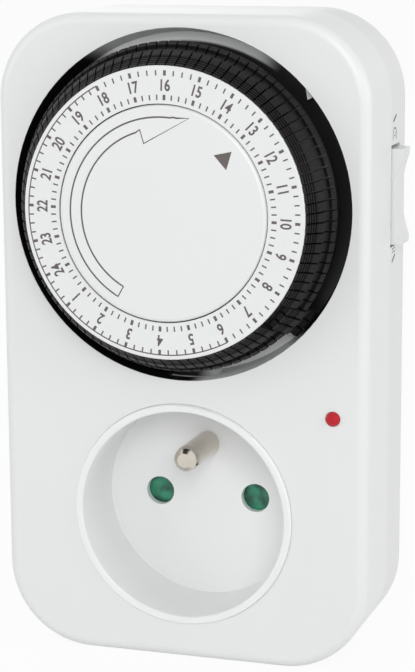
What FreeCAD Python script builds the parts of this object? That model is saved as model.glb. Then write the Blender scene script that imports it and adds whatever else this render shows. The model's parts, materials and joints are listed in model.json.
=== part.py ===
"""Plug-in mechanical timer switch with a 24 hour segment dial and an earthed socket.

The row frame is in millimetres: +Z up, the front face looks toward -Y and +X is on the
right of a person who faces the dial. The origin is the middle of the housing's bottom end.
Depths in this file are measured from the flat front face, backward along +Y.
"""
import FreeCAD, Part

import math
import os

import Sketcher

Vector = FreeCAD.Vector
Rotation = FreeCAD.Rotation
Placement = FreeCAD.Placement

doc = FreeCAD.newDocument("PlugInTimer")


# Driving dimensions

SIZES = (
    ("body_width", 70.0, "housing, side to side"),
    ("body_height", 119.4, "housing, end to end"),
    ("body_depth", 27.5, "housing, front face to rear face"),
    ("seam_depth", 15.5, "front shell, front face to parting line"),
    ("corner_radius", 16.0, "housing corners seen from the front"),
    ("edge_radius", 2.0, "rounding round the front and rear faces"),
    ("shell_wall", 1.8, "wall of both shells"),
    ("fit_gap", 0.05, "radial gap of pressed and running fits"),
    ("part_gap", 0.3, "gap between pieces that move past each other"),
    ("dial_height", 85.1, "dial axis above the bottom end"),
    ("well_radius", 31.9, "dial well at the front face"),
    ("well_taper", 1.0, "how much the well narrows toward its floor"),
    ("well_depth", 4.9, "dial well, front face to floor"),
    ("well_wall", 1.2, "wall and floor of the dial well"),
    ("well_edge", 0.5, "rounding of the well's edge"),
    ("bearing_radius", 22.0, "collar that carries the dial wheel"),
    ("bearing_end", 8.0, "depth of the collar's rear end"),
    ("nose_angle", 40.1, "trip lever's nose beside the dial, from +X"),
    ("nose_reach", 1.6, "how far the nose reaches over the well"),
    ("nose_depth", 1.85, "front of the nose behind the front face"),
    ("relief_width", 9.6, "relief window in the lower wall of the well"),
    ("relief_offset", 1.7, "middle of the relief window beside the dial axis"),
    ("plate_radius", 26.0, "printed ring of the dial"),
    ("plate_thick", 0.6, "thickness of the printed ring"),
    ("plate_stand", 9.6, "printed ring in front of the front face"),
    ("plate_bore", 19.4, "opening of the printed ring"),
    ("disc_radius", 19.2, "fixed centre disc"),
    ("disc_stand", 9.95, "centre disc in front of the front face"),
    ("disc_thick", 1.6, "thickness of the centre disc"),
    ("disc_edge", 0.6, "rounding of the centre disc"),
    ("post_radius", 3.2, "post that carries the centre disc"),
    ("tappet_count", 96.0, "tappets round the dial, one for each quarter hour"),
    ("tappet_phase", -1.62, "turn of the dial at rest"),
    ("tappet_angle", 27.0, "slope of a tappet's slide from the dial axis"),
    ("tappet_thick", 1.2, "thickness of a tappet"),
    ("tappet_length", 8.5, "length of a tappet along its slide"),
    ("tappet_split", 0.3, "gap between two tappets"),
    ("tappet_travel", 3.4, "slide of a tappet that is pushed in"),
    ("rib_count", 4.0, "finger ribs on a tappet"),
    ("rib_start", 0.75, "first finger rib along a tappet"),
    ("rib_pitch", 0.6, "finger ribs, one to the next"),
    ("rib_depth", 0.3, "depth between two finger ribs"),
    ("band_end", 4.9, "end of the smooth band along a tappet"),
    ("lip_start", 6.9, "start of the lip along a tappet"),
    ("valley_depth", 0.55, "depth of the valley between band and lip"),
    ("wheel_wall", 1.3, "wall of the dial wheel"),
    ("hub_wall", 1.5, "wall of the dial wheel's hub"),
    ("dial_teeth", 60.0, "inner teeth of the dial wheel"),
    ("drive_teeth", 12.0, "teeth of the drive pinion"),
    ("dial_module", 0.6, "tooth size of the dial gear"),
    ("wheel_teeth", 44.0, "teeth of the clutch and reduction wheels"),
    ("pinion_teeth", 10.0, "teeth of the reduction and motor pinions"),
    ("train_module", 0.5, "tooth size of the gear train"),
    ("gear_thick", 1.2, "thickness of the gears"),
    ("socket_height", 27.8, "socket axis above the bottom end"),
    ("socket_radius", 19.5, "socket recess"),
    ("socket_depth", 15.0, "socket recess, front face to floor"),
    ("socket_floor", 1.5, "thickness of the recess floor"),
    ("rim_radius", 21.0, "outside of the raised rim round the recess"),
    ("rim_stand", 0.5, "raised rim in front of the front face"),
    ("pin_spacing", 19.0, "live and neutral axes, one to the other"),
    ("pin_radius", 2.4, "radius of every contact pin"),
    ("pin_root", 2.0, "radius of a contact pin where plastic holds it"),
    ("root_clear", 0.1, "how far a pin's root shows before its full radius"),
    ("hole_radius", 2.75, "pin openings in the recess floor"),
    ("earth_offset", 10.0, "earth pin above the line of the pin openings"),
    ("earth_length", 14.0, "earth pin in front of the recess floor"),
    ("plug_radius", 18.5, "round plug body on the rear face"),
    ("plug_length", 17.0, "plug body behind the rear face"),
    ("plug_face", 3.0, "end wall of the plug body"),
    ("plug_pin_length", 19.0, "plug pins behind the plug body"),
    ("receptacle_bore", 2.5, "bore for the wall socket's earth pin"),
    ("receptacle_wall", 0.7, "wall of the earth receptacle"),
    ("strip_thick", 0.6, "thickness of the brass strips"),
    ("clip_width", 6.0, "width of the contact clips"),
    ("shutter_width", 27.2, "shutter bar, end to end"),
    ("shutter_height", 6.0, "height of the shutter bar"),
    ("shutter_thick", 1.8, "thickness of the shutter bar"),
    ("shutter_spring_length", 12.0, "shutter spring at rest"),
    ("rocker_height", 86.1, "rocker axis above the bottom end"),
    ("rocker_length", 17.4, "override rocker, end to end"),
    ("rocker_width", 5.8, "override rocker, front to rear"),
    ("rocker_stand", 2.0, "rocker ends outside the side wall"),
    ("rocker_sag", 1.3, "hollow between the rocker's ends"),
    ("lamp_offset", 28.58, "lamp beside the middle"),
    ("lamp_height", 48.0, "lamp above the bottom end"),
    ("lamp_radius", 1.35, "radius of the lamp's lens"),
    ("lamp_stand", 0.9, "lens in front of the front face"),
    ("boss_radius", 2.6, "screw bosses of the shells"),
    ("screw_radius", 1.3, "shank of a housing screw"),
    ("head_radius", 2.3, "head of a housing screw"),
    ("upper_screw_offset", 30.3, "upper screws beside the middle"),
    ("upper_screw_height", 104.6, "upper screws above the bottom end"),
    ("lower_screw_offset", 27.5, "lower screws beside the middle"),
    ("lower_screw_height", 8.6, "lower screws above the bottom end"),
    ("bridge_depth", 9.2, "front plate of the movement behind the front face"),
    ("bridge_thick", 1.2, "front and rear plates of the movement"),
    ("plate_space", 4.6, "space between the movement's plates"),
    ("pillar_offset", 18.7, "pillars beside and above the dial axis"),
    ("pillar_radius", 2.2, "pillars of the movement"),
    ("plate_half", 21.5, "half width of the movement's plates"),
    ("motor_radius", 15.0, "motor can"),
    ("motor_length", 9.0, "motor can, front to rear"),
    ("motor_wall", 0.8, "wall of the motor can"),
    ("rotor_radius", 5.8, "rotor magnet"),
    ("arbor_radius", 0.9, "arbors and shafts"),
    ("lever_pivot_angle", 56.0, "trip lever's pivot round the dial axis"),
    ("lever_pivot_radius", 36.5, "trip lever's pivot from the dial axis"),
    ("lever_thick", 1.6, "thickness of the trip lever"),
    ("lever_depth", 2.0, "trip lever behind the front face"),
    ("blade_height", 111.0, "switch blade above the bottom end"),
    ("blade_root", 9.0, "switch blade's root beside the middle"),
    ("blade_length", 18.4, "length of the switch blade"),
    ("blade_width", 5.0, "width of the switch blade"),
    ("blade_thick", 0.3, "thickness of the switch blade"),
    ("contact_gap", 0.55, "open gap of the switch"),
    ("wire_radius", 0.8, "radius of the insulated leads"),
)

sheet = doc.addObject("Spreadsheet::Sheet", "Sizes")
for line, (alias, amount, note) in enumerate(SIZES, start=1):
    sheet.set(f"A{line}", note)
    sheet.set(f"B{line}", str(amount))
    sheet.setAlias(f"B{line}", alias)
doc.recompute()


class Length:
    """A number together with the text that ties it to the sheet."""

    def __init__(self, value, text):
        self.value = float(value)
        self.text = text

    def __float__(self):
        return self.value

    def __add__(self, other):
        return join(self, other, self.value + float(other), "+")

    def __radd__(self, other):
        return join(other, self, float(other) + self.value, "+")

    def __sub__(self, other):
        return join(self, other, self.value - float(other), "-")

    def __rsub__(self, other):
        return join(other, self, float(other) - self.value, "-")

    def __mul__(self, other):
        return join(self, other, self.value * float(other), "*")

    def __rmul__(self, other):
        return join(other, self, float(other) * self.value, "*")

    def __truediv__(self, other):
        return join(self, other, self.value / float(other), "/")

    def __neg__(self):
        return Length(-self.value, f"(0 - {self.text})")


def text_of(amount):
    return amount.text if isinstance(amount, Length) else f"({float(amount)!r})"


def join(left, right, value, sign):
    return Length(value, f"({text_of(left)} {sign} {text_of(right)})")


def sine(angle):
    return Length(math.sin(math.radians(float(angle))), f"sin({text_of(angle)})")


def cosine(angle):
    return Length(math.cos(math.radians(float(angle))), f"cos({text_of(angle)})")


class Sheet:
    """Gives every alias of the sheet as a Length."""

    def __getattr__(self, alias):
        return Length(getattr(sheet, alias), f"Sizes.{alias}")


size = Sheet()


# Helpers that make bound objects

AXIS_TURNS = {
    "x": Rotation(Vector(0, 1, 0), 90),
    "y": Rotation(Vector(1, 0, 0), -90),
    "z": Rotation(),
}

nodes = []


def bind(target, path, amount):
    if isinstance(amount, Length):
        target.setExpression(path, amount.text)


def place(target, x, y, z, turn=None):
    """Puts an object at a point whose coordinates stay bound to the sheet."""
    turn = turn or Rotation()
    target.Placement = Placement(Vector(float(x), float(y), float(z)), turn)
    bind(target, "Placement.Base.x", x)
    bind(target, "Placement.Base.y", y)
    bind(target, "Placement.Base.z", z)
    return target


def box(name, low, high):
    """A block between two opposite corners."""
    block = doc.addObject("Part::Box", name)
    for side, start, end in zip(("Length", "Width", "Height"), low, high):
        span = end - start
        setattr(block, side, float(span))
        bind(block, side, span)
    return place(block, *low)


def rod(name, axis, start, radius, length):
    """A cylinder that runs from a point along a positive row axis."""
    cylinder = doc.addObject("Part::Cylinder", name)
    cylinder.Radius = float(radius)
    cylinder.Height = float(length)
    bind(cylinder, "Radius", radius)
    bind(cylinder, "Height", length)
    return place(cylinder, *start, AXIS_TURNS[axis])


def taper(name, start, first, last, length):
    """A cone that runs from a point along +Y."""
    cone = doc.addObject("Part::Cone", name)
    cone.Radius1 = float(first)
    cone.Radius2 = float(last)
    cone.Height = float(length)
    bind(cone, "Radius1", first)
    bind(cone, "Radius2", last)
    bind(cone, "Height", length)
    return place(cone, *start, AXIS_TURNS["y"])


def fuse(name, *pieces):
    union = doc.addObject("Part::MultiFuse", name)
    union.Shapes = list(pieces)
    return union


def cut(name, base, *tools):
    difference = doc.addObject("Part::Cut", name)
    difference.Base = base
    difference.Tool = tools[0] if len(tools) == 1 else fuse(f"{name}_tools", *tools)
    return difference


def group(name, *pieces):
    several = doc.addObject("Part::Compound", name)
    several.Links = list(pieces)
    return several


def made(name, shape):
    """A shape that has no bound feature of its own."""
    feature = doc.addObject("Part::Feature", name)
    feature.Shape = shape
    return feature


def node(name, target):
    """Names a finished sub-part."""
    target.Label = name
    nodes.append(target)
    return target


def new_body(name, x=0.0, y=0.0, z=0.0):
    return place(doc.addObject("PartDesign::Body", name), x, y, z)


def sketch_on(body, name, plane, offset=0.0):
    """A sketch on one of the body's own planes, moved along the plane's normal."""
    sketch = body.newObject("Sketcher::SketchObject", name)
    support = [item for item in body.Origin.OriginFeatures if item.Role == plane][0]
    sketch.AttachmentSupport = [(support, "")]
    sketch.MapMode = "FlatFace"
    sketch.AttachmentOffset = Placement(Vector(0, 0, float(offset)), Rotation())
    bind(sketch, "AttachmentOffset.Base.z", offset)
    return sketch


def limit(sketch, kind, *places, amount):
    """Adds one dimension to a sketch and ties it to the sheet."""
    number = sketch.addConstraint(Sketcher.Constraint(kind, *places, float(amount)))
    bind(sketch, f"Constraints[{number}]", amount)


def fix_point(sketch, curve, end, across, along):
    limit(sketch, "DistanceX", -1, 1, curve, end, amount=across)
    limit(sketch, "DistanceY", -1, 1, curve, end, amount=along)


def outline(sketch, points):
    """A closed outline of straight edges with every corner bound."""
    corners = [Vector(float(across), float(along), 0) for across, along in points]
    first = sketch.GeometryCount
    count = len(corners)
    for index, corner in enumerate(corners):
        sketch.addGeometry(Part.LineSegment(corner, corners[(index + 1) % count]))
    for index in range(count):
        following = first + (index + 1) % count
        sketch.addConstraint(Sketcher.Constraint("Coincident", first + index, 2, following, 1))
    for index, (across, along) in enumerate(points):
        fix_point(sketch, first + index, 1, across, along)
    return sketch


def circle(sketch, across, along, radius):
    centre = Vector(float(across), float(along), 0)
    number = sketch.addGeometry(Part.Circle(centre, Vector(0, 0, 1), float(radius)))
    fix_point(sketch, number, 3, across, along)
    limit(sketch, "Radius", number, amount=radius)
    return sketch


def rounded_rectangle(sketch, left, bottom, right, top, radius):
    """Four straight sides joined by four tangent corner arcs."""
    centres = (
        (right - radius, top - radius),
        (left + radius, top - radius),
        (left + radius, bottom + radius),
        (right - radius, bottom + radius),
    )
    reach = float(radius)
    arcs = []
    for turn, (across, along) in enumerate(centres):
        middle = Vector(float(across), float(along), 0)
        round_corner = Part.Circle(middle, Vector(0, 0, 1), reach)
        start = turn * math.pi / 2
        arcs.append(sketch.addGeometry(Part.ArcOfCircle(round_corner, start, start + math.pi / 2)))
    for turn in range(4):
        here = sketch.Geometry[arcs[turn]].EndPoint
        there = sketch.Geometry[arcs[(turn + 1) % 4]].StartPoint
        side = sketch.addGeometry(Part.LineSegment(here, there))
        sketch.addConstraint(Sketcher.Constraint("Tangent", arcs[turn], 2, side, 1))
        sketch.addConstraint(Sketcher.Constraint("Tangent", side, 2, arcs[(turn + 1) % 4], 1))
    for arc, (across, along) in zip(arcs, centres):
        fix_point(sketch, arc, 3, across, along)
        limit(sketch, "Radius", arc, amount=radius)
    return sketch


def pad(body, sketch, length, backward=True):
    """Adds material; backward on the XZ plane is toward +Y."""
    feature = body.newObject("PartDesign::Pad", f"{sketch.Name}_pad")
    feature.Profile = sketch
    feature.Length = float(length)
    bind(feature, "Length", length)
    feature.Reversed = backward
    body.Tip = feature
    return feature


def pocket(body, sketch, length, backward=True):
    """Removes material; backward on the XZ plane is toward +Y."""
    feature = body.newObject("PartDesign::Pocket", f"{sketch.Name}_pocket")
    feature.Profile = sketch
    feature.Length = float(length)
    bind(feature, "Length", length)
    feature.Reversed = not backward
    body.Tip = feature
    return feature


def revolve(body, sketch, kind="PartDesign::Revolution"):
    """Turns a profile whose across is a radius round the body's own Y axis."""
    feature = body.newObject(kind, f"{sketch.Name}_turned")
    feature.Profile = sketch
    feature.ReferenceAxis = (sketch, ["V_Axis"])
    feature.Angle = 360
    body.Tip = feature
    return feature


def round_edges(body, base, radius, wanted):
    """Rounds the edges of a feature that a test picks."""
    doc.recompute()
    names = [
        f"Edge{number}"
        for number, edge in enumerate(base.Shape.Edges, start=1)
        if wanted(edge)
    ]
    feature = body.newObject("PartDesign::Fillet", f"{base.Name}_rounded")
    feature.Base = (base, names)
    feature.Radius = float(radius)
    bind(feature, "Radius", radius)
    body.Tip = feature
    return feature


def lies_at(edge, depth):
    """True for an edge that lies wholly at one Y."""
    bounds = edge.BoundBox
    return abs(bounds.YMin - float(depth)) < 1e-4 and abs(bounds.YMax - float(depth)) < 1e-4


def turned(name, points, x, y, z):
    """A body turned from one profile of radius and Y round an axis through a point."""
    body = new_body(name, x, y, z)
    revolve(body, outline(sketch_on(body, f"{name}_profile", "XY_Plane"), points))
    return body


def around(radius, angle):
    """The X and Z of a point given round the dial axis."""
    return radius * cosine(angle), size.dial_height + radius * sine(angle)


# Reference planes and places

front = -(size.body_depth / 2)
half = size.body_width / 2
seam = size.seam_depth
rear_inner = size.body_depth - size.shell_wall
live_x = size.pin_spacing / 2
neutral_x = -(size.pin_spacing / 2)
earth_z = size.socket_height + size.earth_offset
floor_back = size.socket_depth + size.socket_floor
plug_end = size.body_depth + size.plug_length

screw_places = (
    (-size.lower_screw_offset, size.lower_screw_height),
    (size.lower_screw_offset, size.lower_screw_height),
    (-size.upper_screw_offset, size.upper_screw_height),
    (size.upper_screw_offset, size.upper_screw_height),
)
pillar_places = [
    (across * size.pillar_offset, size.dial_height + along * size.pillar_offset)
    for across in (-1, 1)
    for along in (-1, 1)
]


def at_depth(depth):
    """The row Y of a depth behind the front face."""
    return front + depth


# Front shell with the socket recess and the dial well

def shell_outline(sketch, inset):
    return rounded_rectangle(
        sketch, inset - half, inset * 1.0, half - inset, size.body_height - inset,
        size.corner_radius - inset,
    )


def front_housing():
    body = new_body("front_shell", y=front)
    block = pad(body, shell_outline(sketch_on(body, "front_outline", "XZ_Plane"), 0.0), seam)
    round_edges(body, block, size.edge_radius, lambda edge: lies_at(edge, 0))
    cavity = shell_outline(sketch_on(body, "front_cavity", "XZ_Plane", -seam), size.shell_wall)
    pocket(body, cavity, seam - size.shell_wall, backward=False)
    mouth = sketch_on(body, "socket_mouth", "XZ_Plane")
    circle(mouth, 0.0, size.socket_height, size.rim_radius + size.fit_gap)
    pocket(body, mouth, size.shell_wall)
    well_outer = size.well_radius + size.well_wall
    floor_end = size.well_depth + size.well_wall
    collar = size.bearing_radius + size.well_wall
    well = sketch_on(body, "well", "XZ_Plane", -(size.shell_wall / 2))
    circle(well, 0.0, size.dial_height, well_outer)
    pad(body, well, floor_end - size.shell_wall / 2)
    sleeve = sketch_on(body, "collar", "XZ_Plane", -size.well_depth)
    circle(sleeve, 0.0, size.dial_height, collar)
    pad(body, sleeve, size.bearing_end - size.well_depth)
    for number, (across, up) in enumerate(pillar_places):
        boss = sketch_on(body, f"pillar_boss_{number}", "XZ_Plane", -size.well_depth)
        circle(boss, across, up, size.pillar_radius)
        pad(body, boss, size.bridge_depth - size.well_depth)
    for number, (across, up) in enumerate(screw_places):
        boss = sketch_on(body, f"screw_boss_{number}", "XZ_Plane", -(size.shell_wall / 2))
        circle(boss, across, up, size.boss_radius)
        pad(body, boss, seam - size.shell_wall / 2)
    return body


def well_cutters():
    """The hollow of the well, its window for the trip lever and its relief window."""
    axis = (0.0, front, size.dial_height)
    deep = size.well_depth
    hollow = taper("well_hollow", (0.0, front, size.dial_height),
                   size.well_radius, size.well_radius - size.well_taper, deep)
    mouth = rod("well_mouth", "y", (0.0, at_depth(-(size.edge_radius)), size.dial_height),
                size.well_radius, size.edge_radius)
    centre = rod("well_bore", "y", axis, size.bearing_radius, size.body_depth)
    low_x = size.relief_offset - size.relief_width / 2
    relief = box(
        "relief_window",
        (low_x, at_depth(size.nose_depth), size.dial_height - size.well_radius - size.well_wall * 2),
        (low_x + size.relief_width, at_depth(deep - size.part_gap),
         size.dial_height - size.well_radius + size.well_taper * 2),
    )
    lever_x, lever_z = around(size.well_radius, size.nose_angle + 1.3)
    room = size.lever_thick
    window = box(
        "lever_window",
        (lever_x - room, at_depth(size.nose_depth - size.part_gap), lever_z - room * 1.2),
        (lever_x + room * 2.4, at_depth(size.lever_depth + size.lever_thick + size.part_gap),
         lever_z + room * 1.7),
    )
    return [hollow, mouth, centre, relief, window]


def socket_insert():
    """The socket's cup, whose rounded rim stands a little in front of the face."""
    body = new_body("socket_cup", y=front)
    collar = sketch_on(body, "socket_collar", "XZ_Plane", size.rim_stand)
    circle(collar, 0.0, size.socket_height, size.rim_radius)
    pad(body, collar, size.rim_stand + size.shell_wall)
    cup = sketch_on(body, "cup", "XZ_Plane", -(size.shell_wall / 2))
    circle(cup, 0.0, size.socket_height, size.socket_radius + size.shell_wall * 0.8)
    pad(body, cup, floor_back - size.shell_wall / 2)
    flange = sketch_on(body, "flange", "XZ_Plane", -(size.shell_wall + size.fit_gap))
    circle(flange, 0.0, size.socket_height, size.rim_radius + size.shell_wall)
    pad(body, flange, size.shell_wall)
    recess = sketch_on(body, "recess", "XZ_Plane", size.rim_stand)
    circle(recess, 0.0, size.socket_height, size.socket_radius)
    recessed = pocket(body, recess, size.socket_depth + size.rim_stand)
    round_edges(body, recessed, size.rim_stand * 0.8, lambda edge: lies_at(edge, -size.rim_stand))
    return body


def shutter_rails():
    """Two angled rails and a spring seat behind the recess floor."""
    pieces = []
    side = size.shutter_width / 2 + size.part_gap
    low = size.socket_height - size.shutter_height * 2
    high = size.socket_height + size.shutter_height * 0.7
    back = at_depth(floor_back + size.part_gap + size.shutter_thick + size.part_gap)
    start = at_depth(size.socket_depth + size.socket_floor / 2)
    for name, near, far, lap in (
        ("left", -side - size.strip_thick * 3, -side, -side + size.strip_thick * 2),
        ("right", side, side + size.strip_thick * 3, side - size.strip_thick * 2),
    ):
        pieces.append(box(f"rail_{name}", (near, start, low), (far, back, high)))
        edges = sorted((near, far, lap), key=float)
        pieces.append(
            box(f"rail_lip_{name}", (edges[0], back, low), (edges[2], back + size.strip_thick, high))
        )
    seat_top = size.socket_height - size.shutter_height / 2 - size.shutter_spring_length
    pieces.append(box("spring_seat", (-3.0, start, seat_top - 1.5),
                      (3.0, back + size.strip_thick * 2, seat_top)))
    return pieces


def socket_holes():
    """Holes of the recess floor for the two pins and the earth pin."""
    tools = []
    start = at_depth(size.socket_depth - size.part_gap)
    reach = size.socket_floor + size.part_gap * 2
    for name, across in (("live", live_x), ("neutral", neutral_x)):
        tools.append(rod(f"{name}_opening", "y", (across, start, size.socket_height),
                         size.hole_radius, reach))
    tools.append(rod("earth_opening", "y", (0.0, start, earth_z), size.pin_root + size.fit_gap, reach))
    return tools


def front_holes():
    """Holes for the lamp and the screws."""
    tools = []
    tools.append(rod("lamp_opening", "y", (size.lamp_offset, at_depth(-size.part_gap), size.lamp_height),
                     size.lamp_radius + size.fit_gap, size.shell_wall + size.part_gap * 2))
    pilot_depth = seam - size.shell_wall * 2
    for number, (across, up) in enumerate(screw_places):
        tools.append(rod(f"pilot_{number}", "y", (across, at_depth(size.shell_wall * 2), up),
                         size.screw_radius + size.fit_gap, pilot_depth + size.part_gap))
    for number, (across, up) in enumerate(pillar_places):
        tools.append(rod(f"pillar_pilot_{number}", "y", (across, at_depth(size.well_depth + 0.6), up),
                         size.pillar_radius / 2 + size.fit_gap, size.bridge_depth))
    return tools


hollowed = cut("front_hollowed", front_housing(), *well_cutters())
node("front_housing", cut("front_drilled", hollowed, *front_holes()))
node("socket_insert", cut("socket_drilled", fuse("socket_joined", socket_insert(), *shutter_rails()),
                          *socket_holes()))


# Rear shell with the plug body

def rear_shell():
    body = new_body("rear_shell_body", y=front)
    outer = shell_outline(sketch_on(body, "rear_outline", "XZ_Plane", -seam), 0.0)
    block = pad(body, outer, size.body_depth - seam)
    round_edges(body, block, size.edge_radius, lambda edge: lies_at(edge, size.body_depth))
    plug = sketch_on(body, "plug", "XZ_Plane", -(size.body_depth - size.shell_wall / 2))
    circle(plug, 0.0, size.socket_height, size.plug_radius)
    boss = pad(body, plug, size.plug_length + size.shell_wall / 2)
    round_edges(body, boss, size.edge_radius / 2, lambda edge: lies_at(edge, plug_end))
    cavity = shell_outline(sketch_on(body, "rear_cavity", "XZ_Plane", -seam), size.shell_wall)
    pocket(body, cavity, rear_inner - seam)
    inside = sketch_on(body, "plug_inside", "XZ_Plane", -rear_inner)
    circle(inside, 0.0, size.socket_height, size.plug_radius - size.shell_wall)
    pocket(body, inside, plug_end - size.plug_face - rear_inner)
    for number, (across, up) in enumerate(screw_places):
        post = sketch_on(body, f"rear_boss_{number}", "XZ_Plane", -seam)
        circle(post, across, up, size.boss_radius + size.shell_wall / 2)
        pad(body, post, rear_inner - seam + size.shell_wall / 2)
    return body


def rear_cutters():
    tools = []
    reach = size.plug_radius + size.shell_wall
    for name, sign in (("left", -1), ("right", 1)):
        edges = sorted((sign * (size.plug_radius - 1.4), sign * reach), key=float)
        tools.append(box(f"guide_groove_{name}",
                         (edges[0], at_depth(size.body_depth), size.socket_height - 2.4),
                         (edges[1], at_depth(plug_end + 1.0), size.socket_height + 2.4)))
    for name, sign in (("low", -1), ("high", 1)):
        edges = sorted((size.socket_height + sign * (size.plug_radius - size.shell_wall * 2),
                        size.socket_height + sign * reach), key=float)
        tools.append(box(f"clip_slot_{name}",
                         (-2.3 - size.fit_gap, at_depth(rear_inner - size.part_gap), edges[0]),
                         (2.3 + size.fit_gap, at_depth(plug_end - size.plug_face / 2), edges[1])))
    hole_start = at_depth(plug_end - size.plug_face - 0.5)
    for name, across in (("live", live_x), ("neutral", neutral_x)):
        tools.append(rod(f"{name}_pin_hole", "y", (across, hole_start, size.socket_height),
                         size.pin_root + size.fit_gap, size.plug_face + 1.0))
    tools.append(rod("receptacle_hole", "y", (0.0, hole_start, earth_z),
                     size.receptacle_bore + size.receptacle_wall + size.fit_gap, size.plug_face + 1.0))
    for number, (across, up) in enumerate(screw_places):
        tools.append(rod(f"screw_way_{number}", "y", (across, at_depth(seam - 0.5), up),
                         size.screw_radius + size.fit_gap * 3, size.body_depth))
        tools.append(rod(f"head_way_{number}", "y", (across, at_depth(size.body_depth - 3.2), up),
                         size.head_radius + size.fit_gap * 3, 4.0))
    gap = size.part_gap
    tools.append(box(
        "rocker_window",
        (half - size.shell_wall - 1.0, at_depth(seam - 0.1),
         size.rocker_height - size.rocker_length / 2 - gap * 2),
        (half + 1.0, at_depth(seam + size.rocker_width + gap * 2),
         size.rocker_height + size.rocker_length / 2 + gap * 2),
    ))
    return tools


def rocker_ears():
    """Two inner ears with the rocker's pivot holes."""
    ears = []
    x_low = half - size.shell_wall - 4.2
    start = seam + size.rocker_width + size.part_gap * 2
    ears.append(box("rocker_ear", (x_low, at_depth(start), size.rocker_height - 2.5),
                    (half - size.shell_wall / 2, at_depth(start + 1.4), size.rocker_height + 2.5)))
    return ears


pivot_x = half - size.shell_wall - 1.6
ear_hole = rod("rocker_ear_hole", "y", (pivot_x, at_depth(seam), size.rocker_height),
               1.0 + size.fit_gap, size.body_depth - seam - size.shell_wall - size.part_gap)
rear_whole = cut("rear_cut", rear_shell(), *rear_cutters())
node("rear_housing", cut("rear_finished", fuse("rear_joined", rear_whole, *rocker_ears()), ear_hole))


# Screws

def screw(name, x, tip, z, shank, head, length, head_length):
    """A pan head screw whose tip looks toward the front."""
    slot = head * 1.2
    blank = fuse(
        f"{name}_blank",
        rod(f"{name}_shank", "y", (x, tip, z), shank, length),
        rod(f"{name}_head", "y", (x, tip + length, z), head, head_length),
    )
    depth = tip + length + head_length * 0.5
    cross = fuse(
        f"{name}_cross",
        box(f"{name}_slot_a", (x - slot / 2, depth, z - 0.3), (x + slot / 2, depth + head_length, z + 0.3)),
        box(f"{name}_slot_b", (x - 0.3, depth, z - slot / 2), (x + 0.3, depth + head_length, z + slot / 2)),
    )
    return cut(f"{name}_whole", blank, cross)


housing_tip = size.shell_wall * 2 + 1.0
housing_shank = size.body_depth - 3.2 - housing_tip
node("housing_screws", group("housing_screw_set", *[
    screw(f"housing_screw_{number}", across, at_depth(housing_tip), up,
          size.screw_radius, size.head_radius, housing_shank, size.shell_wall)
    for number, (across, up) in enumerate(screw_places)
]))

plate_start = size.bridge_depth + size.bridge_thick + size.plate_space
plate_end = plate_start + size.bridge_thick
pillar_bore = size.pillar_radius / 2
screw_tip = size.well_depth + 1.0
node("movement_screws", group("movement_screw_set", *[
    screw(f"movement_screw_{number}", across, at_depth(screw_tip), up,
          pillar_bore, size.pillar_radius * 0.9, plate_end - screw_tip, 1.1)
    for number, (across, up) in enumerate(pillar_places)
]))


# Dial: printed ring, wheel and fixed centre disc

def cone_point(along, out):
    """Radius and stand of a point given along and out from the slope of a tappet."""
    radius = size.plate_radius + 0.1 + along * sine(size.tappet_angle) + out * cosine(size.tappet_angle)
    stand = size.plate_stand - 0.1 - along * cosine(size.tappet_angle) + out * sine(size.tappet_angle)
    return radius, stand


def along_for_stand(stand, out):
    """How far along the slope a point with a given stand lies."""
    lift = size.plate_stand - 0.1 + out * sine(size.tappet_angle) - stand
    return lift / cosine(size.tappet_angle)


def from_stand(points):
    """Profiles give the stand in front of the face; the body's Y runs backward."""
    return [(radius, -stand if isinstance(stand, Length) else -stand) for radius, stand in points]


plate_back = size.plate_stand - size.plate_thick
rim_step = size.plate_thick / 4
dial_plate = turned("dial_plate_body", from_stand([
    (size.plate_bore, plate_back),
    (size.plate_radius, plate_back),
    (size.plate_radius, size.plate_stand - rim_step),
    (size.plate_radius - rim_step, size.plate_stand),
    (size.plate_bore, size.plate_stand),
]), 0.0, front, size.dial_height)
node("dial_plate", dial_plate)

wheel_out = -(size.tappet_thick + size.part_gap / 2)
wheel_end = size.tappet_length + 1.1
inner_out = wheel_out - size.wheel_wall
hub_outer = size.bearing_radius - size.fit_gap
hub_inner = hub_outer - size.hub_wall
gear_start = size.bearing_end - 3.0
pitch_radius = size.dial_module * size.dial_teeth / 2
web_back = plate_back - size.wheel_wall
wheel_top = cone_point(along_for_stand(plate_back, wheel_out), wheel_out)
wheel_low = cone_point(wheel_end, wheel_out)
inner_low = cone_point(wheel_end, inner_out)
inner_top = cone_point(along_for_stand(web_back, inner_out), inner_out)
wheel_blank = turned("dial_wheel_blank", from_stand([
    (size.plate_bore + 0.2, plate_back),
    wheel_top,
    wheel_low,
    (wheel_low[0], inner_low[1] - 0.4),
    (inner_low[0], inner_low[1] - 0.4),
    inner_top,
    (hub_outer, web_back),
    (hub_outer, -size.bearing_end),
    (pitch_radius - size.dial_module * 0.8, -size.bearing_end),
    (pitch_radius - size.dial_module * 0.8, -gear_start),
    (hub_inner, -gear_start),
    (hub_inner, web_back),
    (size.plate_bore + 0.2, web_back),
]), 0.0, front, size.dial_height)


def gear_outline(teeth, module, root_drop, tip_rise, share, phase=0.0):
    """Corner points of a gear with straight flanks; share is the tooth's part of the pitch."""
    radius = module * teeth / 2
    pitch = 2 * math.pi / teeth
    points = []
    steps = (
        (radius - root_drop * module, -0.5 * share - 0.12),
        (radius + tip_rise * module, -0.5 * share + 0.11),
        (radius + tip_rise * module, 0.5 * share - 0.11),
        (radius - root_drop * module, 0.5 * share + 0.12),
    )
    for index in range(int(round(teeth))):
        for reach, offset in steps:
            angle = (index + offset) * pitch + phase
            points.append((reach * math.cos(angle), reach * math.sin(angle)))
    return points


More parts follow.
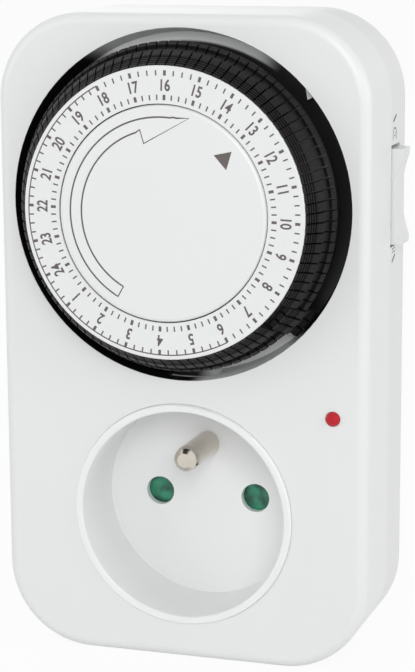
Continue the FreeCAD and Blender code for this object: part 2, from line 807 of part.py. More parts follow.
def gear_prism(points, x, z, start, thick):
    """A gear outline made solid along Y round an axis at X and Z."""
    corners = [Vector(x + across, start, z + up) for across, up in points]
    wire = Part.makePolygon(corners + [corners[0]])
    return Part.Face(wire).extrude(Vector(0, thick, 0))


def gear_shape(teeth, module, x, z, start, thick, phase=0.0, share=0.38):
    points = gear_outline(teeth, module, 1.0, 0.8, share, phase)
    return gear_prism(points, x, z, start, thick)


teeth_points = gear_outline(float(size.dial_teeth), float(size.dial_module), 0.8, 1.15, 0.62)
dial_spaces = made("dial_tooth_spaces", gear_prism(
    teeth_points, 0.0, float(size.dial_height), float(at_depth(gear_start)) - 0.5,
    float(size.bearing_end - gear_start) + 1.0,
))
node("dial_wheel", cut("dial_wheel_toothed", wheel_blank, dial_spaces))

post_top = size.disc_stand - size.disc_thick - 1.0
boss_outer = size.post_radius + 1.8
disc_back = size.disc_stand - size.disc_thick
centre_disc = turned("centre_disc_body", from_stand([
    (0.0, size.disc_stand),
    (size.disc_radius - size.disc_edge, size.disc_stand),
    (size.disc_radius - size.disc_edge * 0.3, size.disc_stand - size.disc_edge * 0.3),
    (size.disc_radius, size.disc_stand - size.disc_edge),
    (size.disc_radius, disc_back),
    (boss_outer, disc_back),
    (boss_outer, post_top - 5.0),
    (size.post_radius + size.fit_gap, post_top - 5.0),
    (size.post_radius + size.fit_gap, post_top),
    (0.0, post_top),
]), 0.0, front, size.dial_height)
node("centre_disc", centre_disc)


# Tappets

def tappet_profile():
    """Radius and stand of a tappet's section, from its top edge down the outside and back."""
    thick = float(size.tappet_thick)
    pitch = float(size.rib_pitch)
    deep = float(size.rib_depth)
    length = float(size.tappet_length)
    rise = 0.15
    start = float(size.rib_start)
    steps = [(0.12, 0.0)]
    for rib in range(int(round(float(size.rib_count)))):
        foot = start + rib * pitch
        steps += [(foot, 0.0), (foot + 0.06, -deep), (foot + 0.24, -deep), (foot + 0.3, 0.0)]
    band_start = start + float(size.rib_count) * pitch
    band_end = float(size.band_end)
    lip_start = float(size.lip_start)
    valley = float(size.valley_depth)
    steps += [
        (band_start, rise),
        (band_end, rise),
        (band_end + 0.1, -valley),
        (lip_start - 0.1, -valley),
        (lip_start, -0.05),
        (length - 0.2, -0.15),
        (length, -0.35),
        (length, -thick),
    ]
    points = [cone_values(along, out) for along, out in steps]
    inner_stand = float(plate_back) - 0.1
    radius, _ = cone_values(float(along_for_stand(inner_stand, -size.tappet_thick)), -thick)
    edge = float(size.plate_radius) + 0.12
    points += [(radius, inner_stand), (edge, inner_stand)]
    return points


def cone_values(along, out):
    radius, stand = cone_point(along, out)
    return float(radius), float(stand)


def tappet(index):
    """One tappet, a thin slice turned round the dial axis."""
    pitch = 360.0 / float(size.tappet_count)
    gap = math.degrees(float(size.tappet_split) / float(size.plate_radius))
    start = 90.0 + float(size.tappet_phase) + index * pitch + gap / 2
    points = [
        Vector(radius, float(front) - stand, float(size.dial_height))
        for radius, stand in tappet_profile()
    ]
    face = Part.Face(Part.makePolygon(points + [points[0]]))
    axis = Vector(0, 0, float(size.dial_height))
    solid = face.revolve(axis, Vector(0, -1, 0), pitch - gap)
    solid.rotate(axis, Vector(0, -1, 0), start)
    return solid


def slide_direction(angle):
    """The way a tappet at an angle round the dial moves when it is pushed in."""
    slope = math.radians(float(size.tappet_angle))
    turn = math.radians(angle)
    out = math.sin(slope)
    return Vector(out * math.cos(turn), math.cos(slope), out * math.sin(turn))


SET_HOUR = 7
SET_QUARTERS = 3
per_hour = int(round(float(size.tappet_count))) // 24
quarter_pitch = 360.0 / float(size.tappet_count)


def hour_start(hour):
    """Index of an hour's first tappet, counted from the 16 hour mark at the top."""
    return (hour - 16) * per_hour


for hour in range(1, 25):
    begin = hour_start(hour)
    if hour != SET_HOUR:
        solids = [tappet(begin + quarter) for quarter in range(per_hour)]
        node(f"tappets_hour_{hour:02d}", made(f"tappet_group_{hour}", Part.makeCompound(solids)))
        continue
    for quarter in range(per_hour):
        solid = tappet(begin + quarter)
        if quarter < SET_QUARTERS:
            middle = 90.0 + float(size.tappet_phase) + (begin + quarter + 0.5) * quarter_pitch
            solid.translate(slide_direction(middle) * float(size.tappet_travel))
        node(f"tappet_{hour:02d}_{quarter * 15:02d}", made(f"single_tappet_{quarter}", solid))


# Movement plates

def movement_plate(name, start, with_post, with_pillars):
    body = new_body(f"{name}_body", y=front)
    half_side = size.plate_half
    sheet_outline = sketch_on(body, f"{name}_outline", "XZ_Plane", -start)
    rounded_rectangle(sheet_outline, -half_side, size.dial_height - half_side, half_side,
                      size.dial_height + half_side, size.pillar_radius + 0.6)
    pad(body, sheet_outline, size.bridge_thick)
    if with_post:
        post = sketch_on(body, f"{name}_post", "XZ_Plane", -(start + size.bridge_thick / 2))
        circle(post, 0.0, size.dial_height, size.post_radius)
        pad(body, post, start + size.bridge_thick / 2 + post_top - size.part_gap / 2, backward=False)
    if with_pillars:
        for number, (across, up) in enumerate(pillar_places):
            pillar = sketch_on(body, f"{name}_pillar_{number}", "XZ_Plane", -(start + size.bridge_thick / 2))
            circle(pillar, across, up, size.pillar_radius)
            pad(body, pillar, size.plate_space + size.bridge_thick / 2, backward=False)
    return body


drive_reach = pitch_radius - size.dial_module * size.drive_teeth / 2
train_reach = size.train_module * (size.wheel_teeth + size.pinion_teeth) / 2
reduction_turn = -55.0
rotor_turn = 20.0
drive_x = -drive_reach
drive_z = size.dial_height * 1.0
reduction_x = drive_x + train_reach * math.cos(math.radians(reduction_turn))
reduction_z = drive_z + train_reach * math.sin(math.radians(reduction_turn))
rotor_x = reduction_x + train_reach * math.cos(math.radians(rotor_turn))
rotor_z = reduction_z + train_reach * math.sin(math.radians(rotor_turn))


def plate_holes(name, start, arbors):
    tools = [
        rod(f"{name}_arbor_{number}", "y", (across, at_depth(start - 0.5), up),
            radius + size.fit_gap, size.bridge_thick + 1.0)
        for number, (across, up, radius) in enumerate(arbors)
    ]
    tools += [
        rod(f"{name}_screw_{number}", "y", (across, at_depth(start - 6.0), up),
            pillar_bore + size.fit_gap, size.bridge_thick + 12.0)
        for number, (across, up) in enumerate(pillar_places)
    ]
    return tools


bridge = movement_plate("bridge", size.bridge_depth, with_post=True, with_pillars=False)
node("movement_bridge", cut("bridge_drilled", bridge, *plate_holes(
    "bridge", size.bridge_depth,
    [(drive_x, drive_z, size.arbor_radius), (reduction_x, reduction_z, size.arbor_radius)],
)))
back_plate = movement_plate("back_plate", plate_start, with_post=False, with_pillars=True)
node("movement_plate", cut("back_plate_drilled", back_plate, *plate_holes(
    "back_plate", plate_start,
    [(drive_x, drive_z, size.arbor_radius), (reduction_x, reduction_z, size.arbor_radius),
     (rotor_x, rotor_z, size.arbor_radius + 1.0)],
)))


# Gear train

def level(depth):
    return float(at_depth(depth))


thick = float(size.gear_thick)
first_level = size.bridge_depth + size.bridge_thick + size.part_gap
second_level = first_level + size.gear_thick + size.part_gap * 2
dial_phase = math.pi / float(size.dial_teeth)
drive_gear = gear_shape(float(size.drive_teeth), float(size.dial_module), float(drive_x), float(drive_z),
                        level(gear_start) + 0.2, thick * 2, phase=math.pi)
drive_arbor = rod("drive_arbor", "y", (drive_x, at_depth(gear_start), drive_z),
                  size.arbor_radius, plate_end - gear_start - size.part_gap)
node("drive_pinion", fuse("drive_pinion_whole", made("drive_teeth", drive_gear), drive_arbor))

wheel_phase = math.radians(reduction_turn)
clutch_gear = gear_shape(float(size.wheel_teeth), float(size.train_module), float(drive_x), float(drive_z),
                         level(first_level), thick, phase=wheel_phase)
clutch_bore = rod("clutch_bore", "y", (drive_x, at_depth(first_level - 1.0), drive_z),
                  size.arbor_radius + size.fit_gap, size.gear_thick + 2.0)
node("clutch_wheel", cut("clutch_wheel_bored", made("clutch_teeth", clutch_gear), clutch_bore))

half_tooth = math.pi / float(size.pinion_teeth)
reduction_pinion = gear_shape(
    float(size.pinion_teeth), float(size.train_module), float(reduction_x), float(reduction_z),
    level(first_level) - 0.1, float(second_level - first_level) + 0.2,
    phase=wheel_phase + math.pi + half_tooth,
)
rotor_phase = math.radians(rotor_turn)
reduction_gear = gear_shape(
    float(size.wheel_teeth), float(size.train_module), float(reduction_x), float(reduction_z),
    level(second_level), thick, phase=rotor_phase,
)
reduction_bore = rod("reduction_bore", "y", (reduction_x, at_depth(first_level - 1.0), reduction_z),
                     size.arbor_radius + size.fit_gap, size.gear_thick * 4 + 2.0)
reduction_blank = fuse("reduction_blank", made("reduction_pinion_teeth", reduction_pinion),
                       made("reduction_wheel_teeth", reduction_gear))
node("reduction_wheel", cut("reduction_wheel_bored", reduction_blank, reduction_bore))
reduction_arbor = rod("reduction_arbor", "y", (reduction_x, at_depth(size.bridge_depth), reduction_z),
                      size.arbor_radius, plate_end - size.bridge_depth)


# Motor

motor_start = plate_end
motor_end = motor_start + size.motor_length
rotor_pinion = gear_shape(
    float(size.pinion_teeth), float(size.train_module), float(rotor_x), float(rotor_z),
    level(second_level) - 0.1, thick + 0.2, phase=rotor_phase + math.pi + half_tooth,
)
magnet_start = motor_start + size.motor_wall * 2
magnet_length = size.motor_length - size.motor_wall * 5
node("motor_rotor", fuse(
    "motor_rotor_whole",
    made("rotor_teeth", rotor_pinion),
    rod("rotor_shaft", "y", (rotor_x, at_depth(second_level - 0.2), rotor_z), size.arbor_radius,
        motor_end - size.motor_wall - size.part_gap - second_level),
    rod("rotor_magnet", "y", (rotor_x, at_depth(magnet_start), rotor_z), size.rotor_radius, magnet_length),
))
wall = size.motor_wall
can_inner = size.motor_radius - wall
pole_inner = size.rotor_radius + size.part_gap
node("motor_can", turned("motor_can_body", [
    (size.arbor_radius + 1.0, motor_start),
    (size.motor_radius, motor_start),
    (size.motor_radius, motor_end),
    (0.0, motor_end),
    (0.0, motor_end - wall),
    (can_inner, motor_end - wall),
    (can_inner, motor_start + wall),
    (pole_inner + wall, motor_start + wall),
    (pole_inner + wall, motor_end - wall * 3),
    (pole_inner, motor_end - wall * 3),
    (pole_inner, motor_start + wall),
    (size.arbor_radius + 1.0, motor_start + wall),
], rotor_x, front, rotor_z))
coil_inner = pole_inner + wall + size.part_gap
node("motor_coil", turned("motor_coil_body", [
    (coil_inner, motor_start + wall + size.fit_gap),
    (can_inner - size.part_gap, motor_start + wall + size.fit_gap),
    (can_inner - size.part_gap, motor_end - wall - size.part_gap),
    (coil_inner, motor_end - wall - size.part_gap),
], rotor_x, front, rotor_z))


# Trip lever, its spring and the switch

pivot_px, pivot_pz = around(size.lever_pivot_radius, size.lever_pivot_angle)
lever_start = size.lever_depth
shelf_z = size.blade_height - 0.4
finger_x = pivot_px + 6.1
finger_z = size.blade_height - 1.2


def trip_lever():
    """A flat lever with a thicker nose that waits just behind the pushed tappets."""
    body = new_body("trip_lever_body", y=front)
    tip = around(size.well_radius - size.nose_reach, size.nose_angle)
    heel = around(size.well_radius - 0.6, size.nose_angle + 3.1)
    behind = size.well_radius + size.well_wall
    points = [
        tip,
        around(behind + 2.0, size.nose_angle - 0.7),
        (pivot_px + 7.9, shelf_z - 1.6),
        (pivot_px + 7.9, shelf_z),
        (pivot_px + 4.0, shelf_z),
        (pivot_px + 1.9, pivot_pz - 0.5),
        (pivot_px + 0.8, pivot_pz + 1.7),
        (pivot_px - 1.9, pivot_pz + 0.3),
        (pivot_px - 1.0, pivot_pz - 3.0),
        around(behind + 0.6, size.nose_angle + 3.3),
        heel,
    ]
    plate = outline(sketch_on(body, "lever_outline", "XZ_Plane", -lever_start), points)
    pad(body, plate, size.lever_thick)
    nose = [
        tip,
        around(behind - 0.1, size.nose_angle - 0.7),
        around(behind - 0.1, size.nose_angle + 3.2),
        heel,
    ]
    front_part = outline(sketch_on(body, "nose_outline", "XZ_Plane", -size.nose_depth), nose)
    pad(body, front_part, lever_start - size.nose_depth + size.lever_thick)
    return body


finger_length = size.bearing_end + 8.0
lever_whole = fuse(
    "lever_joined", trip_lever(),
    rod("lever_finger", "y", (finger_x, at_depth(lever_start), finger_z), 1.0, finger_length),
    rod("lever_boss", "y", (pivot_px, at_depth(lever_start), pivot_pz), 1.9, size.lever_thick * 2),
)
lever_bore = rod("lever_bore", "y", (pivot_px, at_depth(lever_start - 1.0), pivot_pz),
                 size.arbor_radius + size.fit_gap, size.lever_thick * 2 + 2.0)
node("trip_lever", cut("trip_lever_bored", lever_whole, lever_bore))
lever_arbor = rod("lever_arbor", "y", (pivot_px, at_depth(size.shell_wall), pivot_pz),
                  size.arbor_radius, lever_start - size.shell_wall + size.lever_thick * 2 + 0.6)
node("arbor_pins", group("arbor_pin_set", reduction_arbor, lever_arbor))


def coil_spring(length, radius, wire, turns, base, direction):
    """A round wire wound at a steady pitch along an axis from a base point."""
    line = Part.makeHelix(length / turns, length, radius)
    start = Part.Wire(Part.makeCircle(wire, Vector(radius, 0, 0), Vector(0, 1, 0)))
    coil = Part.Wire(line.Edges).makePipeShell([start], True, True)
    coil.Placement = Placement(base, Rotation(Vector(0, 0, 1), direction))
    return coil


shutter_low = size.socket_height - size.shutter_height / 2
spring_wire = 0.2
shutter_spring_base = Vector(0, float(at_depth(floor_back + 2.2)),
                             float(shutter_low - size.shutter_spring_length) + spring_wire)
node("shutter_spring", made("shutter_spring_coil", coil_spring(
    float(size.shutter_spring_length) - 2 * spring_wire, 1.6, spring_wire, 9, shutter_spring_base,
    Vector(0, 0, 1),
)))

def trip_spring():
    """The coil that pushes the lever's shelf away from the housing's corner."""
    wire = 0.2
    radius = 1.05
    x = float(pivot_px) + 6.0
    bottom = float(shelf_z) + 0.35
    corner_x = float(half - size.corner_radius)
    corner_z = float(size.body_height - size.corner_radius)
    inner = float(size.corner_radius - size.shell_wall)
    top = corner_z + math.sqrt(inner ** 2 - (x + radius + wire - corner_x) ** 2) - 0.2
    depth = level(lever_start + size.lever_thick / 2) + 0.6
    return coil_spring(top - bottom - 2 * wire, radius, wire, 4, Vector(x, depth, bottom + wire),
                       Vector(0, 0, 1))


node("trip_spring", made("trip_spring_coil", trip_spring()))

blade_depth = size.bearing_end + 4.5
blade_back = blade_depth + size.blade_width
tip_x = size.blade_root + size.blade_length * 0.72
blade_top = size.blade_height + size.blade_thick
node("switch_blade", fuse(
    "switch_blade_whole",
    box("blade_strip", (size.blade_root, at_depth(blade_depth), size.blade_height),
        (size.blade_root + size.blade_length, at_depth(blade_back), blade_top)),
    rod("blade_tip", "z", (tip_x, at_depth(blade_depth + size.blade_width / 2), blade_top), 1.2, 0.6),
    rod("blade_eye", "y", (size.blade_root, at_depth(blade_depth), size.blade_height + size.blade_thick / 2),
        size.blade_thick * 1.2, size.blade_width),
))
fixed_low = blade_top + 0.6 + size.contact_gap
node("fixed_contact", fuse(
    "fixed_contact_whole",
    box("fixed_strip", (size.blade_root - 3.0, at_depth(blade_depth), fixed_low + 0.6),
        (tip_x + 2.6, at_depth(blade_back), fixed_low + 0.6 + size.strip_thick)),
    rod("fixed_tip", "z", (tip_x, at_depth(blade_depth + size.blade_width / 2), fixed_low), 1.2, 0.7),
))
block_left = size.blade_root - 6.0
block_low = size.blade_height - 2.4
block_high = fixed_low + 0.6 + size.strip_thick + 1.2
block = box("block_body", (block_left, at_depth(blade_depth - 1.5), block_low),
            (size.blade_root + 0.8, at_depth(blade_back + 3.0), block_high))
blade_slot = box("blade_slot",
                 (size.blade_root - size.part_gap * 2, at_depth(blade_depth) - size.part_gap,
                  size.blade_height - size.part_gap),
                 (size.blade_root + 3.0, at_depth(blade_back) + size.part_gap, blade_top + size.part_gap))
strip_slot = box("strip_slot",
                 (size.blade_root - 3.0 - size.fit_gap, at_depth(blade_depth) - size.fit_gap,
                  fixed_low + 0.6 - size.fit_gap),
                 (size.blade_root + 3.0, at_depth(blade_back) + size.fit_gap,
                  fixed_low + 0.6 + size.strip_thick + size.fit_gap))
node("switch_block", cut("switch_block_slotted", block, blade_slot, strip_slot))


# Override rocker

def override_rocker():
    low = size.rocker_height - size.rocker_length / 2
    high = size.rocker_height + size.rocker_length / 2
    start = at_depth(seam + size.part_gap)
    end = start + size.rocker_width
    outer = half + size.rocker_stand
    inner = pivot_x - 1.2
    cap = box("rocker_cap", (half - size.shell_wall - 0.4, start, low), (outer, end, high))
    web = box("rocker_web", (inner, start, size.rocker_height - 3.0),
              (half - size.shell_wall, end, size.rocker_height + 3.0))
    half_chord = size.rocker_length / 2 - 1.2
    bend = (half_chord * half_chord + size.rocker_sag * size.rocker_sag) / (size.rocker_sag * 2)
    saddle = rod("rocker_saddle", "y", (outer - size.rocker_sag + bend, start - 1.0, size.rocker_height),
                 bend, size.rocker_width + 2.0)
    shaped = cut("rocker_shaped", cap, saddle)
    pins = rod("rocker_pivot", "y", (pivot_x, start, size.rocker_height), 1.0, size.rocker_width + 2.2)
    return fuse("rocker_joined", shaped, web, pins)


node("override_rocker", override_rocker())


# Socket contacts, earth path and shutter

node("earth_pin", turned("earth_pin_body", [
    (0.0, size.socket_depth - size.earth_length),
    (size.pin_radius * 0.55, size.socket_depth - size.earth_length + 0.25),
    (size.pin_radius * 0.9, size.socket_depth - size.earth_length + 1.0),
    (size.pin_radius, size.socket_depth - size.earth_length + 2.0),
    (size.pin_radius, size.socket_depth - size.root_clear),
    (size.pin_root, size.socket_depth - size.root_clear),
    (size.pin_root, floor_back + 4.5),
    (0.0, floor_back + 4.5),
], 0.0, front, earth_z))
strap_start = floor_back + 4.5
strap_end = strap_start + size.strip_thick


def earth_strap():
    pieces = [box("strap_bar", (-2.0, at_depth(strap_start), size.socket_height - leg_out),
                  (2.0, at_depth(strap_end), size.socket_height + leg_out))]
    for name, sign in (("low", -1), ("high", 1)):
        edges = sorted((size.socket_height + sign * leg_out,
                        size.socket_height + sign * (leg_out - size.strip_thick)), key=float)
        pieces.append(box(f"strap_leg_{name}", (-2.0, at_depth(strap_start), edges[0]),
                          (2.0, at_depth(plug_end - size.plug_face), edges[1])))
    pieces.append(box("strap_pad", (-4.0, at_depth(strap_start), earth_z - 4.0),
                      (4.0, at_depth(strap_end), earth_z + 4.0)))
    return fuse("earth_strap_whole", *pieces)


leg_out = size.plug_radius - 0.4
node("earth_strap", earth_strap())
tube = size.receptacle_bore + size.receptacle_wall
node("earth_receptacle", turned("earth_receptacle_body", [
    (0.0, strap_end),
    (tube, strap_end),
    (tube, plug_end - 0.2),
    (size.receptacle_bore, plug_end - 0.2),
    (size.receptacle_bore, plug_end - 16.0),
    (0.0, plug_end - 16.0),
], 0.0, front, earth_z))

clip_start = floor_back + size.part_gap * 2 + size.shutter_thick + size.strip_thick + 0.6
clip_end = floor_back + size.plug_pin_length
clip_in = size.pin_radius + 0.1
clip_out = clip_in + size.strip_thick


def contact_clip(name, centre):
    """A folded strip that grips a pin from both sides."""
    body = new_body(f"{name}_body", centre, front, size.socket_height - size.clip_width / 2)
    pinch = clip_in - 0.3
    points = [
        (clip_out + 0.6, clip_start),
        (pinch + size.strip_thick, clip_start + 3.5),
        (clip_out, clip_start + 7.0),
        (clip_out, clip_end),
        (-clip_out, clip_end),
        (-clip_out, clip_start + 7.0),
        (-(pinch + size.strip_thick), clip_start + 3.5),
        (-(clip_out + 0.6), clip_start),
        (-(clip_in + 0.6), clip_start),
        (-pinch, clip_start + 3.5),
        (-clip_in, clip_start + 7.0),
        (-clip_in, clip_end - size.strip_thick),
        (clip_in, clip_end - size.strip_thick),
        (clip_in, clip_start + 7.0),
        (pinch, clip_start + 3.5),
        (clip_in + 0.6, clip_start),
    ]
    pad(body, outline(sketch_on(body, f"{name}_outline", "XY_Plane"), points), size.clip_width,
        backward=False)
    return body


def plug_pin(name, centre):
    tip = plug_end + size.plug_pin_length
    return turned(f"{name}_body", [
        (0.0, clip_end),
        (size.pin_radius * 0.7, clip_end),
        (size.pin_radius * 0.7, plug_end - size.plug_face),
        (size.pin_root, plug_end - size.plug_face),
        (size.pin_root, plug_end + size.root_clear),
        (size.pin_radius, plug_end + size.root_clear),
        (size.pin_radius, tip - 2.0),
        (size.pin_radius * 0.9, tip - 1.0),
        (size.pin_radius * 0.55, tip - 0.25),
        (0.0, tip),
    ], centre, front, size.socket_height)


node("pin_contacts", group("contact_pair", contact_clip("live_clip", live_x),
                           contact_clip("neutral_clip", neutral_x)))
node("plug_pins", group("plug_pin_pair", plug_pin("live_pin", live_x), plug_pin("neutral_pin", neutral_x)))


def shutter():
    low = size.socket_height - size.shutter_height / 2
    high = size.socket_height + size.shutter_height / 2
    start = at_depth(floor_back + size.part_gap)
    end = start + size.shutter_thick
    return box("shutter_bar", (-(size.shutter_width / 2), start, low), (size.shutter_width / 2, end, high))


node("shutter", shutter())


# Lamp

lens_base = size.shell_wall + size.fit_gap
node("lamp_lens", turned("lamp_lens_body", [
    (0.0, -size.lamp_stand),
    (size.lamp_radius * 0.5, -size.lamp_stand * 0.87),
    (size.lamp_radius * 0.86, -size.lamp_stand * 0.5),
    (size.lamp_radius, 0.0),
    (size.lamp_radius, lens_base),
    (size.lamp_radius + 0.9, lens_base),
    (size.lamp_radius + 0.9, lens_base + 0.8),
    (0.0, lens_base + 0.8),
], size.lamp_offset, front, size.lamp_height))
neon_start = lens_base + 1.0
node("neon_lamp", group(
    "neon_and_resistor",
    turned("neon_body", [
        (0.0, neon_start),
        (1.6, neon_start + 1.0),
        (1.6, neon_start + 8.5),
        (0.0, neon_start + 9.5),
    ], size.lamp_offset, front, size.lamp_height),
    rod("resistor_body", "z", (size.lamp_offset, at_depth(neon_start + 10.8), size.lamp_height - 3.4),
        1.2, 6.8),
))


# Insulated leads

def lead(points, radius):
    """A round lead along straight runs joined by tangent arcs."""
    corners = [Vector(*point) for point in points]
    edges = []
    here = corners[0]
    for before, corner, after in zip(corners, corners[1:], corners[2:]):
        toward = (before - corner).normalize()
        onward = (after - corner).normalize()
        turn = math.pi - toward.getAngle(onward)
        run = min((before - corner).Length, (after - corner).Length)
        back = 0.45 * run
        bend = back / math.tan(turn / 2)
        start = corner + toward * back
        end = corner + onward * back
        inward = (toward + onward).normalize()
        middle = corner + inward * (bend / math.cos(turn / 2) - bend)
        edges.append(Part.LineSegment(here, start).toShape())
        edges.append(Part.Arc(start, middle, end).toShape())
        here = end
    edges.append(Part.LineSegment(here, corners[-1]).toShape())
    path = Part.Wire(edges)
    ring = Part.Wire(Part.makeCircle(radius, corners[0], corners[1] - corners[0]))
    tube_shape = path.makePipeShell([ring], True, False)
    return tube_shape


def lead_routes():
    """Routes of the four leads, chosen by hand: across, depth behind the face and height."""
    side = float(live_x + clip_out) + 0.12
    low = float(size.socket_height)
    block_side = float(size.blade_root) + 0.9
    lamp = float(size.lamp_offset)
    live = [
        (side, 28.5, low),
        (15.3, 28.3, 28.2),
        (15.6, 22.6, 31.5),
        (20.5, 21.0, 41.0),
        (25.2, 21.0, 53.0),
        (25.8, 21.0, 68.0),
        (25.4, 21.0, 84.0),
        (23.8, 20.6, 98.0),
        (17.5, 19.2, 109.2),
        (block_side, 19.0, 109.6),
    ]
    neutral = [
        (-side, 28.5, low),
        (-15.3, 28.3, 28.2),
        (-15.6, 22.6, 31.5),
        (-20.0, 21.0, 41.0),
        (-20.2, 21.0, 54.0),
        (-18.6, 21.0, 65.0),
        (-14.6, 21.0, 71.1),
        (-8.1, 21.0, 73.5),
    ]
    lamp_live = [
        (lamp, 13.6, 44.3),
        (28.4, 15.0, 40.0),
        (24.5, 20.0, 31.0),
        (18.5, 22.3, 25.5),
        (15.2, 26.0, 25.6),
        (side, 26.6, 26.0),
    ]
    lamp_neutral = [
        (lamp - 1.95, 8.0, 48.0),
        (24.0, 9.0, 50.6),
        (10.0, 11.0, 54.0),
        (-10.0, 13.5, 54.0),
        (-19.0, 17.5, 49.0),
        (-21.0, 18.6, 39.0),
        (-19.0, 22.0, 28.0),
        (-15.2, 26.0, 25.8),
        (-side, 26.6, 26.0),
    ]
    return (live, 1.0), (neutral, 1.0), (lamp_live, 0.6), (lamp_neutral, 0.6)


def leads():
    """Every lead as its own solid."""
    solids = []
    for route, share in lead_routes():
        points = [(across, level(depth), up) for across, depth, up in route]
        solids.append(lead(points, float(size.wire_radius) * share))
    return made("lead_set", Part.makeCompound(solids))


node("leads", leads())


# Checks and export

doc.recompute()
for item in doc.Objects:
    for state in item.State:
        if state in ("Invalid", "Error"):
            raise RuntimeError(f"{item.Label} is {state}")
labels = [item.Label for item in nodes]
if len(set(labels)) != len(labels):
    raise RuntimeError("two sub-parts share a name")
os.makedirs("parts", exist_ok=True)
for item in nodes:
    shape = item.Shape
    if shape.isNull() or not shape.isValid():
        raise RuntimeError(f"{item.Label} has no valid shape")
    shape.exportStep(f"parts/{item.Label}.step")
print(len(nodes), "sub-parts")
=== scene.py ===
"""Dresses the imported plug-in timer: finishes for its moulded shells, dial, tappets and pins, the
printed scale and marks, and a pale studio stage seen from the photograph's angle."""

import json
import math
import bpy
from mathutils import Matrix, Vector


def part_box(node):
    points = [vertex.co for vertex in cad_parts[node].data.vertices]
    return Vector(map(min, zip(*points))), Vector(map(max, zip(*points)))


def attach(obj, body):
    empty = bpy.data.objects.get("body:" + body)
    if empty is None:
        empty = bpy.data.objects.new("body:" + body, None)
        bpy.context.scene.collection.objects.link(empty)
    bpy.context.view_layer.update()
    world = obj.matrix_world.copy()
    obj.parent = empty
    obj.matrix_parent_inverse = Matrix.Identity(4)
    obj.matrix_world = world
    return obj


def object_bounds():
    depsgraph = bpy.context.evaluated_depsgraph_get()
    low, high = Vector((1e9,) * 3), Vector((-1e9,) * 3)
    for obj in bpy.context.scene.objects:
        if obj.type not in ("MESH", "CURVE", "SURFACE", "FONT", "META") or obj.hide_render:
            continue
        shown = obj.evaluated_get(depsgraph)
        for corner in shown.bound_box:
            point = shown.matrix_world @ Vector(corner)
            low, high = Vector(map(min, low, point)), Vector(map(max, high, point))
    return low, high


bl_info = {
    "name": "Plug-in timer dress",
    "version": (1, 0, 0),
    "blender": (4, 5, 0),
    "location": "View3D > Sidebar > Timer",
    "description": "Adds the print, finishes and studio of a plug-in timer switch to its frame",
    "category": "Object",
}

import bpy
from mathutils import Matrix, Vector

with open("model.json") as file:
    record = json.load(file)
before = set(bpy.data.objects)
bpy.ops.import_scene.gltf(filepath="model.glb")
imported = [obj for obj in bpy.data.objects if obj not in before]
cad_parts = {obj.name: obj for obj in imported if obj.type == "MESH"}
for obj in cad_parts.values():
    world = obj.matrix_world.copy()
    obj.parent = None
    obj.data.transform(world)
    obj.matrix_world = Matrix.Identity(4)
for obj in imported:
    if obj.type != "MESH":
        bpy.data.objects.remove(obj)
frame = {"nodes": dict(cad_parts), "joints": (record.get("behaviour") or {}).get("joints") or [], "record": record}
cad_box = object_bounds()

MM = 0.001
joints = {joint["name"]: joint for joint in frame["joints"]}
mounts = {mount["name"]: mount for mount in frame["record"]["mounts"]}


# Places read from the frame

# How far the earth pin's mount lies behind the front face of the housing
EARTH_PIN_SETBACK = 8 * MM

dial_x, _, dial_z = joints["dial_spin"]["pos_m"]
plate_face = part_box("dial_plate")[0].y
disc_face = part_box("centre_disc")[0].y
rear_low, rear_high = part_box("rear_housing")
side_face = rear_high.x
seam_y = rear_low.y
front_face = mounts["socket_earth_pin"]["pos_m"][1] - EARTH_PIN_SETBACK


# The dial well's painted shade on the front shell: its wall and floor are painted dark where they lie in shade.
# Each edge is half the width of a soft step.

WELL_RADIUS = 31.9 * MM
WELL_RADIUS_EDGE = 0.05 * MM
WELL_FLOOR_START = 20.5 * MM
WELL_FLOOR_EDGE = 0.2 * MM
WELL_LIP = 0.1 * MM
WELL_LIP_EDGE = 0.06 * MM

# Its painted light: pale stretches at the top and the lower right, where light reaches the well, by the sine and
# cosine of the angle from +X
PAINTED_LIGHT_TOP_SINE = 0.86
PAINTED_LIGHT_FOOT_SINE = -0.74
PAINTED_LIGHT_SINE_EDGE = 0.05
PAINTED_LIGHT_FOOT_COSINE = 0.1
PAINTED_LIGHT_COSINE_EDGE = 0.06
PAINTED_LIGHT_WIDTH = 2.6 * MM
PAINTED_LIGHT_WIDTH_EDGE = 0.3 * MM


# The dial's scale: its hours run anticlockwise, with one line for each quarter

HOURS = 24
QUARTERS_IN_HOUR = 4
QUARTERS = HOURS * QUARTERS_IN_HOUR
QUARTER_TURN = math.radians(360 / QUARTERS)
HOUR_DEGREES = 360 / HOURS
TOP_HOUR = 16
SCALE_ARC_HOURS = (18, 6 + HOURS)
SCALE_ARC_STEPS = 96

# Text size by the height of a digit, thickening of its strokes by the print's height, and the
# share of its width that is kept
DIGIT_TEXT_SIZE = 1.42
DIGIT_THICKENING = 3.2
DIGIT_NARROWING = 0.78


# The print on the centre disc, angles in degrees from +X toward +Z

ARROW_LINE = 0.34 * MM
ARROW_OUTER_RADIUS = 17.1 * MM
ARROW_INNER_RADIUS = 15.0 * MM
ARROW_TAIL = 241
ARROW_OUTER_END = 84
ARROW_INNER_START = 108
ARROW_OUTER_STEPS = 60
ARROW_INNER_STEPS = 50

# Corners of the arrow's head and of the pointer: a radius in millimetres and an angle
ARROW_HEAD = ((17.25, 83), (17.25, 80), (17.8, 72.9), (12.8, 104.2), (15.3, 104.6))
POINTER = ((17.3, 41.6), (14.5, 48.0), (14.5, 34.6))


# The marks beside the rocker, and how far their middle lies behind the seam

MARKS_BEHIND_SEAM = 2.5 * MM

